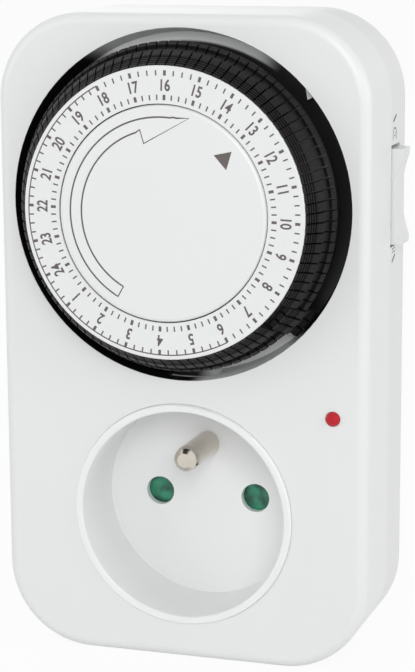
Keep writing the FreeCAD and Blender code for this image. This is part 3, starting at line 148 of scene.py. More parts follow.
# Their points are in millimetres: across from that middle, and up from the foot of the part
CLOCK_HALF_WIDTH = 1.3
CLOCK_RISE = 1.2
CLOCK_SPRING = 97.2
CLOCK_FOOT = 96.3
CLOCK_CROWN = [
    (CLOCK_HALF_WIDTH * math.cos(math.radians(angle)),
     CLOCK_SPRING + CLOCK_RISE * math.sin(math.radians(angle)))
    for angle in range(0, 181, 20)
]
CLOCK_ARCH = [(CLOCK_HALF_WIDTH, CLOCK_FOOT), *CLOCK_CROWN, (-CLOCK_HALF_WIDTH, CLOCK_FOOT)]

# Each stroke's name, points and line width in millimetres
SIDE_STROKES = (
    ("mark_on", [(-1.1, 99.6), (1.1, 100.7)], 0.5),
    ("mark_arch", CLOCK_ARCH, 0.26),
    ("mark_hand", [(-0.5, 97.0), (0.1, 96.9), (0.5, 97.6)], 0.24),
    ("mark_line_a", [(-1.0, 76.3), (0.9, 76.5)], 0.22),
    ("mark_line_b", [(-1.0, 75.7), (0.9, 75.9)], 0.22),
    ("mark_low", [(-1.1, 74.0), (1.1, 75.1)], 0.5),
)


# Numbers of the finishes

# The fine grain and the broad clouds of moulded plastic, and how much each changes the roughness
SPARK_GRAIN = 0.35 * MM
SPARK_DEPTH = 0.006 * MM
CLOUD_SIZE = 18 * MM
SPARK_ROUGHNESS = 0.12
CLOUD_ROUGHNESS = 0.06

# Scales of the wave texture: bands about 0.12 mm apart on metal and 0.35 mm on the motor coil
METAL_LINE_SCALE = 2600.0
COIL_TURN_SCALE = 900.0

DUST_COLOUR = (0.09, 0.085, 0.08)
DUST_STRENGTH = 0.35

# Numbers of the sockets that the Mix node uses for colours
MIX_FACTOR = 0
MIX_FIRST = 6
MIX_SECOND = 7
MIX_RESULT = 2


# The stage: a floor, even light, four lamps and the camera fitted to the photograph

WHITE = (1.0, 1.0, 1.0, 1.0)

# The floor's width in metres, its colour and grain, and how white it looks to the camera
FLOOR_SIZE = 6.0
FLOOR_GREY = (0.8, 0.8, 0.8)
FLOOR_ROUGHNESS = 0.7
FLOOR_GRAIN_SCALE = 60.0
FLOOR_GRAIN_DEPTH = 0.05 * MM
FLOOR_WHITE_SHARE = 0.93

# The even light of the world
AMBIENT_COLOUR = (0.96, 0.98, 1.0, 1.0)
AMBIENT_STRENGTH = 0.55

# Each lamp's name, place and disc width in metres, and power in watts
LAMPS = (
    ("key", (0.35, -0.9, 0.45), 0.5, 3.4),
    ("fill", (-0.8, -0.7, 0.35), 0.7, 1.9),
    ("side", (1.1, -0.1, 0.3), 0.6, 2.7),
    ("back", (-0.5, 0.9, 0.6), 0.7, 1.5),
)
LAMP_AIM = Vector((0, 0, 0.06))

# The camera's place from the middle of the foot of the front face, and its angles in radians
CAMERA_PLACE = Vector((129.8, -377.7, 143.15)) * MM
CAMERA_YAW = 0.321
CAMERA_PITCH = 0.212
CAMERA_ROLL = -0.006
FOCAL_PIXELS = 2247.8
CENTRE_PIXEL = (203.0, 359.1)
FRAME_PIXELS = (415, 672)


# Settings that a user would change


class TimerPrintSettings(bpy.types.PropertyGroup):
    """Sizes of the dial's printed scale, and the height of all the print."""

    scale_turn: bpy.props.FloatProperty(
        name="Scale turn", description="Angle of the 16 hour line past the top, clockwise",
        default=math.radians(1.62), subtype="ANGLE",
    )
    digit_height: bpy.props.FloatProperty(
        name="Digit height", description="Height of the hour numbers", default=1.95 * MM,
        unit="LENGTH", precision=5,
    )
    digit_radius: bpy.props.FloatProperty(
        name="Number circle", description="Radius of the circle of hour numbers",
        default=22.62 * MM, unit="LENGTH", precision=5,
    )
    outer_tick_radius: bpy.props.FloatProperty(
        name="Outer ticks", description="Radius of the outer row of quarter-hour lines",
        default=24.72 * MM, unit="LENGTH", precision=5,
    )
    inner_tick_radius: bpy.props.FloatProperty(
        name="Inner ticks", description="Radius of the inner row of quarter-hour lines",
        default=20.48 * MM, unit="LENGTH", precision=5,
    )
    tick_length: bpy.props.FloatProperty(
        name="Line length", description="Length of a quarter-hour line", default=0.92 * MM,
        unit="LENGTH", precision=5,
    )
    line_width: bpy.props.FloatProperty(
        name="Thin line", description="Width of thin printed lines", default=0.25 * MM,
        unit="LENGTH", precision=5,
    )
    hour_line_width: bpy.props.FloatProperty(
        name="Hour line", description="Width of the thick line at each hour", default=0.5 * MM,
        unit="LENGTH", precision=5,
    )
    print_height: bpy.props.FloatProperty(
        name="Print height", description="How far the print stands on its surface",
        default=0.02 * MM, unit="LENGTH", precision=6,
    )


class TimerColourSettings(bpy.types.PropertyGroup):
    """Colours of the finishes."""

    shell: bpy.props.FloatVectorProperty(
        name="Shell", description="Front shell, disc and printed ring", subtype="COLOR", size=3,
        min=0.0, max=1.0, default=(0.80, 0.805, 0.80),
    )
    rear: bpy.props.FloatVectorProperty(
        name="Rear shell", description="Rear shell and rocker", subtype="COLOR", size=3,
        min=0.0, max=1.0, default=(0.755, 0.76, 0.745),
    )
    # Also the colour of the painted shade in the dial well of the front shell
    black: bpy.props.FloatVectorProperty(
        name="Black", description="Dial wheel and tappets", subtype="COLOR", size=3,
        min=0.0, max=1.0, default=(0.007, 0.006, 0.006),
    )
    ink: bpy.props.FloatVectorProperty(
        name="Ink", description="Print on the dial", subtype="COLOR", size=3,
        min=0.0, max=1.0, default=(0.125, 0.105, 0.098),
    )
    green: bpy.props.FloatVectorProperty(
        name="Shutter", description="Shutter behind the socket holes", subtype="COLOR", size=3,
        min=0.0, max=1.0, default=(0.02, 0.21, 0.12),
    )
    lamp: bpy.props.FloatVectorProperty(
        name="Lamp", description="Lamp lens", subtype="COLOR", size=3,
        min=0.0, max=1.0, default=(0.45, 0.005, 0.014),
    )


# Shader maths written as Python


class Wire:
    """A shader socket whose arithmetic adds Math nodes."""

    def __init__(self, maker, socket):
        self.maker = maker
        self.socket = socket

    def math(self, operation, other):
        return self.maker.node("ShaderNodeMath", {"operation": operation}, {0: self, 1: other})

    def __add__(self, other):
        return self.math("ADD", other)

    __radd__ = __add__

    def __sub__(self, other):
        return self.math("SUBTRACT", other)

    def __rsub__(self, other):
        return self.maker.node("ShaderNodeMath", {"operation": "SUBTRACT"}, {0: other, 1: self})

    def __mul__(self, other):
        return self.math("MULTIPLY", other)

    __rmul__ = __mul__

    def __truediv__(self, other):
        return self.math("DIVIDE", other)

    def power(self, other):
        return self.math("POWER", other)

    def smaller(self, limit, softness):
        """1 below a limit and 0 above it, with a soft step that reaches softness each way."""
        return self.maker.node(
            "ShaderNodeMapRange", {"interpolation_type": "SMOOTHSTEP"},
            {"Value": self, "From Min": limit - softness, "From Max": limit + softness,
             "To Min": 1.0, "To Max": 0.0},
        )

    def larger(self, limit, softness):
        return 1 - self.smaller(limit, softness)


class NodeMaker:
    """Adds nodes to the tree of a material or a world."""

    def __init__(self, tree):
        self.tree = tree

    def node(self, kind, settings=None, inputs=None, output=0):
        """Adds a node: settings first, then values or links of its sockets."""
        made = self.tree.nodes.new(kind)
        for key, value in (settings or {}).items():
            setattr(made, key, value)
        for key, value in (inputs or {}).items():
            if isinstance(value, Wire):
                self.tree.links.new(value.socket, made.inputs[key])
            else:
                made.inputs[key].default_value = value
        return Wire(self, made.outputs[output])

    def seen_directly(self):
        """1 for rays from the camera, in a reflection or through glass, and 0 for the rest."""
        camera, glossy, through = (
            self.node("ShaderNodeLightPath", output=ray)
            for ray in ("Is Camera Ray", "Is Glossy Ray", "Is Transmission Ray")
        )
        return camera.math("MAXIMUM", glossy).math("MAXIMUM", through)


class Finish(NodeMaker):
    """A material with one Principled shader and the nodes that vary it."""

    def __init__(self, name, colour, roughness, **constants):
        self.material = bpy.data.materials.new(name)
        self.material.use_nodes = True
        super().__init__(self.material.node_tree)
        self.shader = self.tree.nodes["Principled BSDF"]
        self.material.diffuse_color = (*colour, 1.0)
        self.shader.inputs["Base Color"].default_value = (*colour, 1.0)
        self.shader.inputs["Roughness"].default_value = roughness
        for socket, value in constants.items():
            self.shader.inputs[socket.replace("_", " ")].default_value = value

    def place(self):
        return self.node("ShaderNodeTexCoord", output="Object")

    def axis(self, name):
        return self.node("ShaderNodeSeparateXYZ", inputs={0: self.place()}, output=name)

    def noise(self, size, detail=2.0, roughness=0.5):
        """A noise whose lumps are about a size across, from 0 to 1."""
        return self.node(
            "ShaderNodeTexNoise", inputs={"Vector": self.place(), "Scale": 1.0 / size,
                                          "Detail": detail, "Roughness": roughness},
        )

    def bands(self, scale, along, distortion, detail, detail_scale=1.0):
        """Soft bands that follow each other along an axis, from 0 to 1."""
        return self.node(
            "ShaderNodeTexWave", {"wave_type": "BANDS", "bands_direction": along},
            {"Vector": self.place(), "Scale": scale, "Distortion": distortion, "Detail": detail,
             "Detail Scale": detail_scale},
            output="Fac",
        )

    def mix(self, factor, first, second):
        """A colour between two colours."""
        first = first if isinstance(first, Wire) else (*first, 1.0)
        second = second if isinstance(second, Wire) else (*second, 1.0)
        return self.node(
            "ShaderNodeMix", {"data_type": "RGBA"},
            {MIX_FACTOR: factor, MIX_FIRST: first, MIX_SECOND: second}, output=MIX_RESULT,
        )

    def feed(self, socket, wire):
        self.tree.links.new(wire.socket, self.shader.inputs[socket])

    def fed(self, socket):
        """The wire that feeds a socket of the shader so far."""
        return Wire(self, self.shader.inputs[socket].links[0].from_socket)

    def roughen(self, least, *patterns):
        """Feeds the roughness: its least value, and each pattern with the most that it adds."""
        total, *others = [pattern * most for pattern, most in patterns]
        for other in others:
            total = total + other
        self.feed("Roughness", total + least)

    def bump(self, height, distance, strength=1.0):
        inputs = {"Height": height, "Distance": distance, "Strength": strength}
        self.feed("Normal", self.node("ShaderNodeBump", inputs=inputs))


def shades(colour, change):
    """A colour made a little darker or lighter all over."""
    return tuple(min(1.0, max(0.0, part * (1 + change))) for part in colour)


# Finishes


def moulded_plastic(name, colour, roughness, clouds=0.02):
    """Moulded plastic: faint clouds of tone, a fine spark grain and uneven gloss."""
    finish = Finish(name, colour, roughness, Specular_IOR_Level=0.5)
    cloud = finish.noise(CLOUD_SIZE, detail=3.0)
    finish.feed("Base Color", finish.mix(cloud, shades(colour, -clouds), shades(colour, clouds)))
    grain = finish.noise(SPARK_GRAIN, detail=3.0, roughness=0.6)
    least = roughness - (SPARK_ROUGHNESS + CLOUD_ROUGHNESS) / 2
    finish.roughen(least, (grain, SPARK_ROUGHNESS), (cloud, CLOUD_ROUGHNESS))
    finish.bump(grain, SPARK_DEPTH)
    return finish


def white_shell(name, colour):
    """Plastic of the white shells, with very faint clouds of tone."""
    return moulded_plastic(name, colour, roughness=0.36, clouds=0.012)


def shell_finish(name, colour):
    """A shell that is white all over."""
    return white_shell(name, colour).material


def front_finish(name, colour, dark):
    """The front shell: white, with painted shade in its dial well, which is dark, and painted light at the well's
    top and lower right.
    """
    finish = white_shell(name, colour)
    plain = finish.fed("Base Color")
    across = finish.axis("X") - dial_x
    up = finish.axis("Z") - dial_z
    reach = (across * across + up * up).power(0.5)
    within = reach.smaller(WELL_RADIUS + WELL_RADIUS_EDGE, WELL_RADIUS_EDGE)
    well = within * reach.larger(WELL_FLOOR_START, WELL_FLOOR_EDGE)
    behind = finish.axis("Y").larger(front_face + WELL_LIP, WELL_LIP_EDGE)
    top = (up / reach).larger(PAINTED_LIGHT_TOP_SINE, PAINTED_LIGHT_SINE_EDGE)
    foot = (up / reach).smaller(PAINTED_LIGHT_FOOT_SINE, PAINTED_LIGHT_SINE_EDGE)
    painted_light_lower_right = foot * (across / reach).larger(PAINTED_LIGHT_FOOT_COSINE, PAINTED_LIGHT_COSINE_EDGE)
    pale = (top + painted_light_lower_right) * reach.larger(WELL_RADIUS - PAINTED_LIGHT_WIDTH, PAINTED_LIGHT_WIDTH_EDGE)
    # Painted shade and painted light: the well is coloured dark, and a lighter white in its stretches at the top
    # and lower right
    tone = finish.mix(pale, dark, shades(colour, 0.1))
    finish.feed("Base Color", finish.mix(well * behind, plain, tone))
    return finish.material


def tappet_finish(colour):
    """Black tappets: satin plastic in uneven tones, with a few pale specks of dust."""
    finish = Finish("tappet_black", colour, 0.3, Specular_IOR_Level=0.16)
    grain = finish.noise(0.25 * MM, detail=3.0, roughness=0.6)
    blotch = finish.noise(2.4 * MM, detail=3.0, roughness=0.6)
    speck = finish.noise(0.5 * MM, detail=2.0, roughness=0.7).larger(0.66, softness=0.06)
    dust = speck * blotch.larger(0.55, softness=0.12)
    tone = finish.mix(blotch, shades(colour, -0.3), shades(colour, 1.0))
    finish.feed("Base Color", finish.mix(dust * DUST_STRENGTH, tone, DUST_COLOUR))
    finish.roughen(0.28, (grain, 0.22), (blotch, 0.16))
    finish.bump(grain, 0.012 * MM)
    return finish.material


def wheel_finish(colour):
    """Black wheel plastic, with clouds of lighter and darker tone."""
    return moulded_plastic("dial_black", colour, roughness=0.4, clouds=0.2).material


def metal_finish(name, colour, roughness, scratch=0.12, along="Y"):
    """Turned or drawn metal, with fine lines across an axis and dull patches."""
    finish = Finish(name, colour, roughness, Metallic=1.0)
    patch = finish.noise(1.6 * MM, detail=3.0, roughness=0.6)
    lines = finish.bands(METAL_LINE_SCALE, along, distortion=1.5, detail=2.0, detail_scale=3.0)
    finish.feed("Base Color", finish.mix(patch, shades(colour, -0.08), shades(colour, 0.05)))
    finish.roughen(roughness - 0.1, (patch, 0.14), (lines, scratch))
    finish.bump(lines, 0.002 * MM, strength=0.5)
    return finish.material


def lens_finish(colour):
    """Red lens: a glossy coat over a deep, faintly mottled colour."""
    finish = Finish("lamp_red", colour, 0.12, Coat_Weight=0.35, Coat_Roughness=0.03,
                    Specular_IOR_Level=0.15)
    mottle = finish.noise(0.9 * MM, detail=1.0)
    finish.feed("Base Color", finish.mix(mottle, colour, shades(colour, 0.25)))
    finish.roughen(0.09, (finish.noise(0.3 * MM), 0.06))
    return finish.material


def shutter_finish(colour):
    """Glossy green plastic with painted light and painted shade: lighter and darker patches across a few
    millimetres.
    """
    finish = Finish("shutter_green", colour, 0.2, Specular_IOR_Level=0.5)
    # Painted light and painted shade: random patches made lighter and darker, standing in for the light and shade
    # on the shutter inside the holes
    light_and_shade_patch = finish.noise(2.6 * MM)
    light = light_and_shade_patch.smaller(0.5, softness=0.16)
    finish.feed("Base Color", finish.mix(light, shades(colour, 0.35), shades(colour, -0.6)))
    finish.roughen(0.1, (light_and_shade_patch, 0.2))
    return finish.material


def glass_finish():
    """Thin glass of the neon lamp, a little smoky in patches."""
    finish = Finish("lamp_glass", (0.85, 0.80, 0.76), 0.08, IOR=1.5)
    smoke = finish.noise(1.2 * MM)
    finish.feed("Base Color", finish.mix(smoke, (0.9, 0.84, 0.78), (0.66, 0.5, 0.42)))
    finish.feed("Alpha", smoke * 0.3 + 0.45)
    return finish.material


def tape_finish():
    """Yellow tape over a copper winding, with its turns pressed through."""
    finish = Finish("coil_tape", (0.72, 0.5, 0.08), 0.4)
    turns = finish.bands(COIL_TURN_SCALE, "Y", distortion=0.6, detail=1.0)
    finish.feed("Base Color", finish.mix(turns, (0.6, 0.4, 0.06), (0.78, 0.56, 0.11)))
    finish.roughen(0.32, (turns, 0.15))
    finish.bump(turns, 0.02 * MM)
    return finish.material


def lead_finish():
    """Insulated leads: brown on the live side and blue on the neutral side."""
    finish = Finish("lead_sheath", (0.22, 0.1, 0.05), 0.4)
    live_side = finish.axis("X").larger(0.0, softness=0.2 * MM)
    grain = finish.noise(0.4 * MM)
    finish.feed("Base Color", finish.mix(live_side, (0.02, 0.09, 0.32), (0.2, 0.085, 0.04)))
    finish.roughen(0.32, (grain, 0.2))
    finish.bump(grain, 0.01 * MM)
    return finish.material


def ink_finish(colour):
    """Screen ink: dark, a little uneven in strength, and duller than the plastic under it."""
    finish = Finish("scale_ink", colour, 0.5)
    weak = finish.noise(0.35 * MM, detail=3.0, roughness=0.65)
    finish.feed("Base Color", finish.mix(weak, shades(colour, -0.4), shades(colour, 0.3)))
    finish.roughen(0.4, (weak, 0.2))
    return finish.material


def dial_ink(colour):
    """The ink of the dial's print, made once."""
    return bpy.data.materials.get("scale_ink") or ink_finish(colour)


def backdrop_finish():
    """White to the camera, in reflections and through glass, and pale grey to other rays."""
    finish = Finish("studio_white", FLOOR_GREY, FLOOR_ROUGHNESS)
    grain = finish.node("ShaderNodeTexNoise", inputs={"Scale": FLOOR_GRAIN_SCALE}, output="Fac")
    finish.bump(grain, FLOOR_GRAIN_DEPTH)
    plain = Wire(finish, finish.shader.outputs[0])
    glow = finish.node("ShaderNodeEmission", inputs={"Color": WHITE})
    share = finish.seen_directly() * FLOOR_WHITE_SHARE
    blend = finish.node("ShaderNodeMixShader", inputs={"Fac": share, 1: plain, 2: glow})
    finish.tree.links.new(blend.socket, finish.tree.nodes["Material Output"].inputs["Surface"])
    return finish.material


def light_world(scene):
    """Even light from all round, white to the camera, in reflections and through glass."""
    world = scene.world or bpy.data.worlds.new("studio_world")
    scene.world = world
    world.use_nodes = True
    tree = world.node_tree
    tree.nodes.clear()
    maker = NodeMaker(tree)
    ambient = maker.node(
        "ShaderNodeBackground", inputs={"Color": AMBIENT_COLOUR, "Strength": AMBIENT_STRENGTH},
    )
    white = maker.node("ShaderNodeBackground", inputs={"Color": WHITE, "Strength": 1.0})
    seen = maker.seen_directly()
    blend = maker.node("ShaderNodeMixShader", inputs={"Fac": seen, 1: ambient, 2: white})
    out = tree.nodes.new("ShaderNodeOutputWorld")
    tree.links.new(blend.socket, out.inputs["Surface"])


# Modelling helpers


def deselect():
    bpy.ops.object.select_all(action="DESELECT")


def active():
    return bpy.context.view_layer.objects.active


def choose(*pieces):
    deselect()
    for piece in pieces:
        piece.select_set(True)
    bpy.context.view_layer.objects.active = pieces[0]


def settle(piece):
    """Puts an object's place, turn and scale into its mesh."""
    choose(piece)
    bpy.ops.object.transform_apply(location=True, rotation=True, scale=True)
    return piece


def copy_of(piece, matrix):
    """A copy with its own mesh, moved by a matrix."""
    twin = piece.copy()
    twin.data = piece.data.copy()
    twin.data.transform(matrix)
    bpy.context.scene.collection.objects.link(twin)
    return twin


def joined(pieces):
    """Several objects made one."""
    choose(*pieces)
    bpy.ops.object.join()
    return active()


def finish_piece(piece, name, body, material):
    """Names a new piece, gives it its material and ties it to a body."""
    piece.name = name
    piece.data.name = name
    piece.data.materials.clear()
    piece.data.materials.append(material)
    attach(piece, body)


def repaint(node, material):
    """Gives a CAD node a new material."""
    target = frame["nodes"][node]
    target.data.materials.clear()
    target.data.materials.append(material)


def polar(radius, angle):
    """A point round the dial axis, angle from +X toward +Z as seen from the front."""
    return dial_x + radius * math.cos(angle), dial_z + radius * math.sin(angle)


def about_dial(angle):
    """Turns a mesh round the dial axis, anticlockwise as seen from the front."""
    centre = Matrix.Translation((dial_x, 0, dial_z))
    return centre @ Matrix.Rotation(-angle, 4, "Y") @ centre.inverted()


def bar(low, high):
    """A small block between two corners."""
    middle = [(a + b) / 2 for a, b in zip(low, high)]
    bpy.ops.mesh.primitive_cube_add(size=1.0, location=middle)
    block = active()
    block.scale = [b - a for a, b in zip(low, high)]
    return settle(block)


def printed_line(name, points, width, face, height, closed=False, axis="Y"):
    """A thin printed line along points in the dial's plane, or the side wall's for axis X."""
    data = bpy.data.curves.new(name, "CURVE")
    data.dimensions = "3D"
    spline = data.splines.new("POLY")
    spline.points.add(len(points) - 1)
    for point, (across, up) in zip(spline.points, points):
        place = (across, 0.0, up) if axis == "Y" else (0.0, across, up)
        point.co = (*place, 1.0)
    spline.use_cyclic_u = closed
    data.bevel_depth = width / 2
    data.bevel_resolution = 1
    data.use_fill_caps = True
    line = bpy.data.objects.new(name, data)
    bpy.context.scene.collection.objects.link(line)
    choose(line)
    bpy.ops.object.convert(target="MESH")
    line = active()
    squeeze = height / (width / 2)
    if axis == "Y":
        line.scale = (1.0, squeeze, 1.0)
        line.location.y = face
    else:
        line.scale = (squeeze, 1.0, 1.0)
        line.location.x = face
    return settle(line)


def arc(radius, start, end, steps):
    """Points of an arc round the dial axis, angles in degrees."""
    return [
        polar(radius, math.radians(start + (end - start) * step / steps))
        for step in range(steps + 1)
    ]


def disc_points(corners):
    """Points round the dial axis, each from a radius in millimetres and an angle in degrees."""
    return [polar(radius * MM, math.radians(angle)) for radius, angle in corners]


# Print


def quarter_lines(sizes, first):
    """The two rows of lines round the ring, a thick one at each hour, as separate pieces."""
    lines = []
    for radius in (sizes.outer_tick_radius, sizes.inner_tick_radius):
        for width, hours in ((sizes.line_width, False), (sizes.hour_line_width, True)):
            low = (dial_x + radius - sizes.tick_length / 2, plate_face - sizes.print_height,
                   dial_z - width / 2)
            high = (dial_x + radius + sizes.tick_length / 2, plate_face + sizes.print_height / 2,
                    dial_z + width / 2)
            pattern = bar(low, high)
            for index in range(QUARTERS):
                if (index % QUARTERS_IN_HOUR == 0) == hours:
                    lines.append(copy_of(pattern, about_dial(first + index * QUARTER_TURN)))
            bpy.data.objects.remove(pattern)
    return lines


def scale_arc(sizes):
    """The thin arc along the ends of the outer lines, from 18 round to 6 o'clock."""
    radius = sizes.outer_tick_radius + sizes.tick_length / 2
    start, end = (
        90 - math.degrees(sizes.scale_turn) + (hour - TOP_HOUR) * HOUR_DEGREES
        for hour in SCALE_ARC_HOURS
    )
    points = arc(radius, start, end, SCALE_ARC_STEPS)
    return printed_line("scale_arc", points, sizes.line_width, plate_face, sizes.print_height)


def hour_number(sizes, hour, angle):
    """An hour's number in its place on the ring, with its head outwards."""
    bpy.ops.object.text_add(location=(0, 0, 0))
    text = active()
    text.data.body = str(hour)
    text.data.align_x = "CENTER"
    text.data.align_y = "CENTER"
    text.data.size = sizes.digit_height * DIGIT_TEXT_SIZE
    text.data.extrude = sizes.print_height / 2
    text.data.offset = sizes.print_height * DIGIT_THICKENING
    text.data.resolution_u = 4
    bpy.ops.object.convert(target="MESH")
    number = active()
    number.data.transform(Matrix.Diagonal((DIGIT_NARROWING, 1.0, 1.0, 1.0)))
    number.data.transform(Matrix.Rotation(math.pi / 2, 4, "X"))
    low = min(vertex.co.z for vertex in number.data.vertices)
    high = max(vertex.co.z for vertex in number.data.vertices)
    centred = (0, plate_face - sizes.print_height / 2, -(low + high) / 2)
    number.data.transform(Matrix.Translation(centred))
    number.data.transform(Matrix.Translation((dial_x, 0, dial_z + sizes.digit_radius)))
    number.data.transform(about_dial(angle - math.pi / 2))
    return number


class TIMER_OT_dial_scale(bpy.types.Operator):
    """Prints the hour numbers and the quarter-hour lines on the dial's ring"""

    bl_idname = "timer.dial_scale"
    bl_label = "Dial scale"

    def execute(self, context):
        sizes = context.scene.timer_print
        ink = dial_ink(context.scene.timer_colours.ink)
        first = math.pi / 2 - sizes.scale_turn
        lines = quarter_lines(sizes, first) + [scale_arc(sizes)]
        finish_piece(joined(lines), "dial_lines", "dial", ink)
        numbers = [
            hour_number(sizes, hour, first + (hour - TOP_HOUR) * QUARTERS_IN_HOUR * QUARTER_TURN)
            for hour in range(1, HOURS + 1)
        ]
        finish_piece(joined(numbers), "dial_numbers", "dial", ink)
        return {"FINISHED"}


class TIMER_OT_disc_print(bpy.types.Operator):
    """Prints the outlined direction arrow and the pointer on the centre disc"""

    bl_idname = "timer.disc_print"
    bl_label = "Arrow and pointer"

    def execute(self, context):
        sizes = context.scene.timer_print
        ink = dial_ink(context.scene.timer_colours.ink)
        outline = [
            *arc(ARROW_OUTER_RADIUS, ARROW_TAIL, ARROW_OUTER_END, ARROW_OUTER_STEPS),
            *disc_points(ARROW_HEAD),
            *arc(ARROW_INNER_RADIUS, ARROW_INNER_START, ARROW_TAIL, ARROW_INNER_STEPS),
        ]
        arrow = printed_line("disc_arrow", outline, ARROW_LINE, disc_face, sizes.print_height,
                             closed=True)
        finish_piece(arrow, "disc_arrow", "housing", ink)
        sunk = sizes.print_height / 2
        thickness = sizes.print_height + sunk
        bpy.ops.mesh.primitive_circle_add(vertices=3, radius=1.0, fill_type="NGON")
        pointer = active()
        for vertex, (across, up) in zip(pointer.data.vertices, disc_points(POINTER)):
            vertex.co = (across, disc_face + sunk, up)
        bpy.ops.object.mode_set(mode="EDIT")
        bpy.ops.mesh.select_all(action="SELECT")
        bpy.ops.mesh.extrude_region_move(TRANSFORM_OT_translate={"value": (0, -thickness, 0)})
        bpy.ops.mesh.select_all(action="SELECT")
        bpy.ops.mesh.normals_make_consistent(inside=False)
        bpy.ops.object.mode_set(mode="OBJECT")
        finish_piece(settle(pointer), "disc_pointer", "housing", ink)
        return {"FINISHED"}


class TIMER_OT_side_marks(bpy.types.Operator):
    """Prints the on and clock marks at the two ends of the side rocker"""

    bl_idname = "timer.side_marks"
    bl_label = "Side marks"

    def execute(self, context):
        height = context.scene.timer_print.print_height
        black = moulded_plastic("mark_ink", (0.01, 0.01, 0.01), roughness=0.45).material
        middle = seam_y + MARKS_BEHIND_SEAM
        marks = []
        for name, points, width in SIDE_STROKES:
            placed = [(middle + across * MM, up * MM) for across, up in points]
            marks.append(printed_line(name, placed, width * MM, side_face, height, axis="X"))
        finish_piece(joined(marks), "side_marks", "housing", black)
        return {"FINISHED"}


# Finishes for the CAD nodes


class TIMER_OT_finishes(bpy.types.Operator):
    """Gives every node of the frame its finish"""

    bl_idname = "timer.finishes"
    bl_label = "Finishes"

    def execute(self, context):
        colours = context.scene.timer_colours
        shell = shell_finish("shell_white", colours.shell)
        rear = shell_finish("shell_rear", colours.rear)
        natural = moulded_plastic("gear_plastic", (0.74, 0.73, 0.68), 0.42).material
        frame_plastic = moulded_plastic("frame_plastic", (0.62, 0.58, 0.5), 0.48).material
        steel = metal_finish("screw_steel", (0.56, 0.56, 0.57), 0.34)
        nickel = metal_finish("pin_nickel", (0.64, 0.59, 0.52), 0.14, scratch=0.04)
        brass = metal_finish("contact_brass", (0.72, 0.52, 0.24), 0.32)
        bronze = metal_finish("blade_bronze", (0.6, 0.36, 0.2), 0.36, along="X")
        tappets = tappet_finish(colours.black)
        chosen = {
            # The front shell carries painted shade, with painted light at its top and lower right, in its dial
            # well
            "front_housing": front_finish("shell_front", colours.shell, colours.black),
            # The socket insert is a lighter white than the shell: painted light that lifts its shaded inside
            "socket_insert": shell_finish("socket_white", shades(colours.shell, 0.07)),
            "rear_housing": rear,
            "override_rocker": rear,
            "trip_lever": shell,
            "dial_plate": moulded_plastic("plate_white", colours.shell, 0.3, clouds=0.01).material,
            "centre_disc": moulded_plastic("disc_white", colours.shell, 0.38, clouds=0.01).material,
            "dial_wheel": wheel_finish(colours.black),
            "shutter": shutter_finish(colours.green),
            "lamp_lens": lens_finish(colours.lamp),
            "neon_lamp": glass_finish(),
            "leads": lead_finish(),
            "motor_coil": tape_finish(),
            "motor_rotor": moulded_plastic("rotor_ferrite", (0.05, 0.048, 0.05), 0.5).material,
            "motor_can": metal_finish("can_steel", (0.58, 0.58, 0.56), 0.4),
            "switch_block": moulded_plastic("block_plastic", (0.12, 0.05, 0.025), 0.4).material,
            "movement_bridge": frame_plastic,
            "movement_plate": frame_plastic,
            "drive_pinion": natural,
            "clutch_wheel": natural,
            "reduction_wheel": natural,
            "housing_screws": steel,
            "movement_screws": steel,
            "arbor_pins": steel,
            "shutter_spring": steel,
            "trip_spring": steel,
            "earth_pin": nickel,
            "plug_pins": nickel,
            "switch_blade": bronze,
        }
        for node in frame["nodes"]:
            if node.startswith("tappet"):
                repaint(node, tappets)
            else:
                repaint(node, chosen.get(node, brass))
        return {"FINISHED"}


# Stage


def area_lamp(name, place, size, power):
    """A soft round lamp that points at the middle of the part."""
    data = bpy.data.lights.new(name, "AREA")
    data.shape = "DISK"
    data.size = size
    data.energy = power
    lamp = bpy.data.objects.new(name, data)
    lamp.location = place
    lamp.rotation_euler = (LAMP_AIM - Vector(place)).to_track_quat("-Z", "Y").to_euler()
    bpy.context.scene.collection.objects.link(lamp)


def photo_camera(scene):
    """The camera, with the photograph's place, direction, focal length and centre."""
    data = bpy.data.cameras.new("camera")
    camera = bpy.data.objects.new("camera", data)
    scene.collection.objects.link(camera)
    width, height = FRAME_PIXELS
    data.sensor_fit = "VERTICAL"
    data.sensor_height = 24.0
    data.lens = FOCAL_PIXELS / height * data.sensor_height
    data.shift_x = (width / 2 - CENTRE_PIXEL[0]) / height
    data.shift_y = (CENTRE_PIXEL[1] - height / 2) / height
    data.clip_start = 0.01
    camera.rotation_mode = "QUATERNION"
    forward = Vector((-math.sin(CAMERA_YAW) * math.cos(CAMERA_PITCH),
                      math.cos(CAMERA_YAW) * math.cos(CAMERA_PITCH), -math.sin(CAMERA_PITCH)))
    look = forward.to_track_quat("-Z", "Y")
    roll = Matrix.Rotation(CAMERA_ROLL, 3, "Z").to_quaternion()
    camera.rotation_quaternion = look @ roll
    camera.location = CAMERA_PLACE + Vector((0, front_face, 0))
    scene.camera = camera


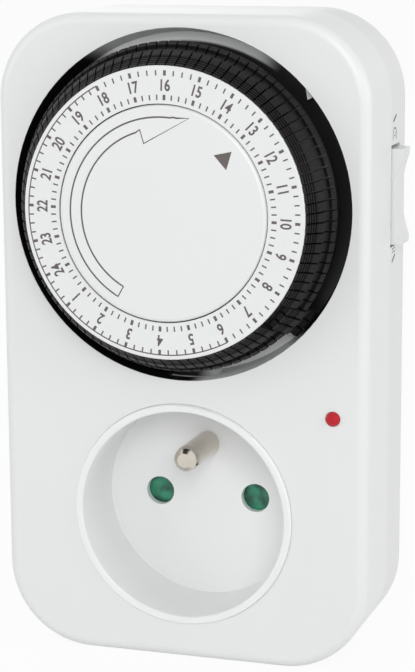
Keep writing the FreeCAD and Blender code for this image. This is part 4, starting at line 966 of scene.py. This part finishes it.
class TIMER_OT_stage(bpy.types.Operator):
    """Builds the floor, the lamps and the camera at the photograph's angle"""

    bl_idname = "timer.stage"
    bl_label = "Stage"

    def execute(self, context):
        scene = context.scene
        scene.view_settings.view_transform = "Standard"
        foot = cad_box[0][2]
        bpy.ops.mesh.primitive_plane_add(size=FLOOR_SIZE, location=(0, 0, foot))
        floor = active()
        choose(floor)
        bpy.ops.object.mode_set(mode="EDIT")
        bpy.ops.mesh.select_all(action="SELECT")
        bpy.ops.mesh.subdivide(number_cuts=4)
        bpy.ops.object.mode_set(mode="OBJECT")
        floor.name = "studio_floor"
        floor.data.materials.append(backdrop_finish())
        settle(floor)
        light_world(scene)
        for lamp in LAMPS:
            area_lamp(*lamp)
        photo_camera(scene)
        return {"FINISHED"}


class TIMER_PT_panel(bpy.types.Panel):
    """Shows the timer's settings and a button for each step"""

    bl_idname = "TIMER_PT_panel"
    bl_label = "Timer"
    bl_space_type = "VIEW_3D"
    bl_region_type = "UI"
    bl_category = "Timer"

    def draw(self, context):
        layout = self.layout
        for group in (context.scene.timer_print, context.scene.timer_colours):
            for name in group.__annotations__:
                layout.prop(group, name)
        for operator in OPERATORS:
            layout.operator(operator.bl_idname)


OPERATORS = (
    TIMER_OT_finishes,
    TIMER_OT_dial_scale,
    TIMER_OT_disc_print,
    TIMER_OT_side_marks,
    TIMER_OT_stage,
)
CLASSES = (TimerPrintSettings, TimerColourSettings, *OPERATORS, TIMER_PT_panel)


def register():
    for item in CLASSES:
        bpy.utils.register_class(item)
    bpy.types.Scene.timer_print = bpy.props.PointerProperty(type=TimerPrintSettings)
    bpy.types.Scene.timer_colours = bpy.props.PointerProperty(type=TimerColourSettings)


def unregister():
    del bpy.types.Scene.timer_colours
    del bpy.types.Scene.timer_print
    for item in reversed(CLASSES):
        bpy.utils.unregister_class(item)


def main():
    register()
    deselect()
    bpy.ops.timer.finishes()
    bpy.ops.timer.dial_scale()
    bpy.ops.timer.disc_print()
    bpy.ops.timer.side_marks()
    bpy.ops.timer.stage()


if __name__ == "__main__":
    main()
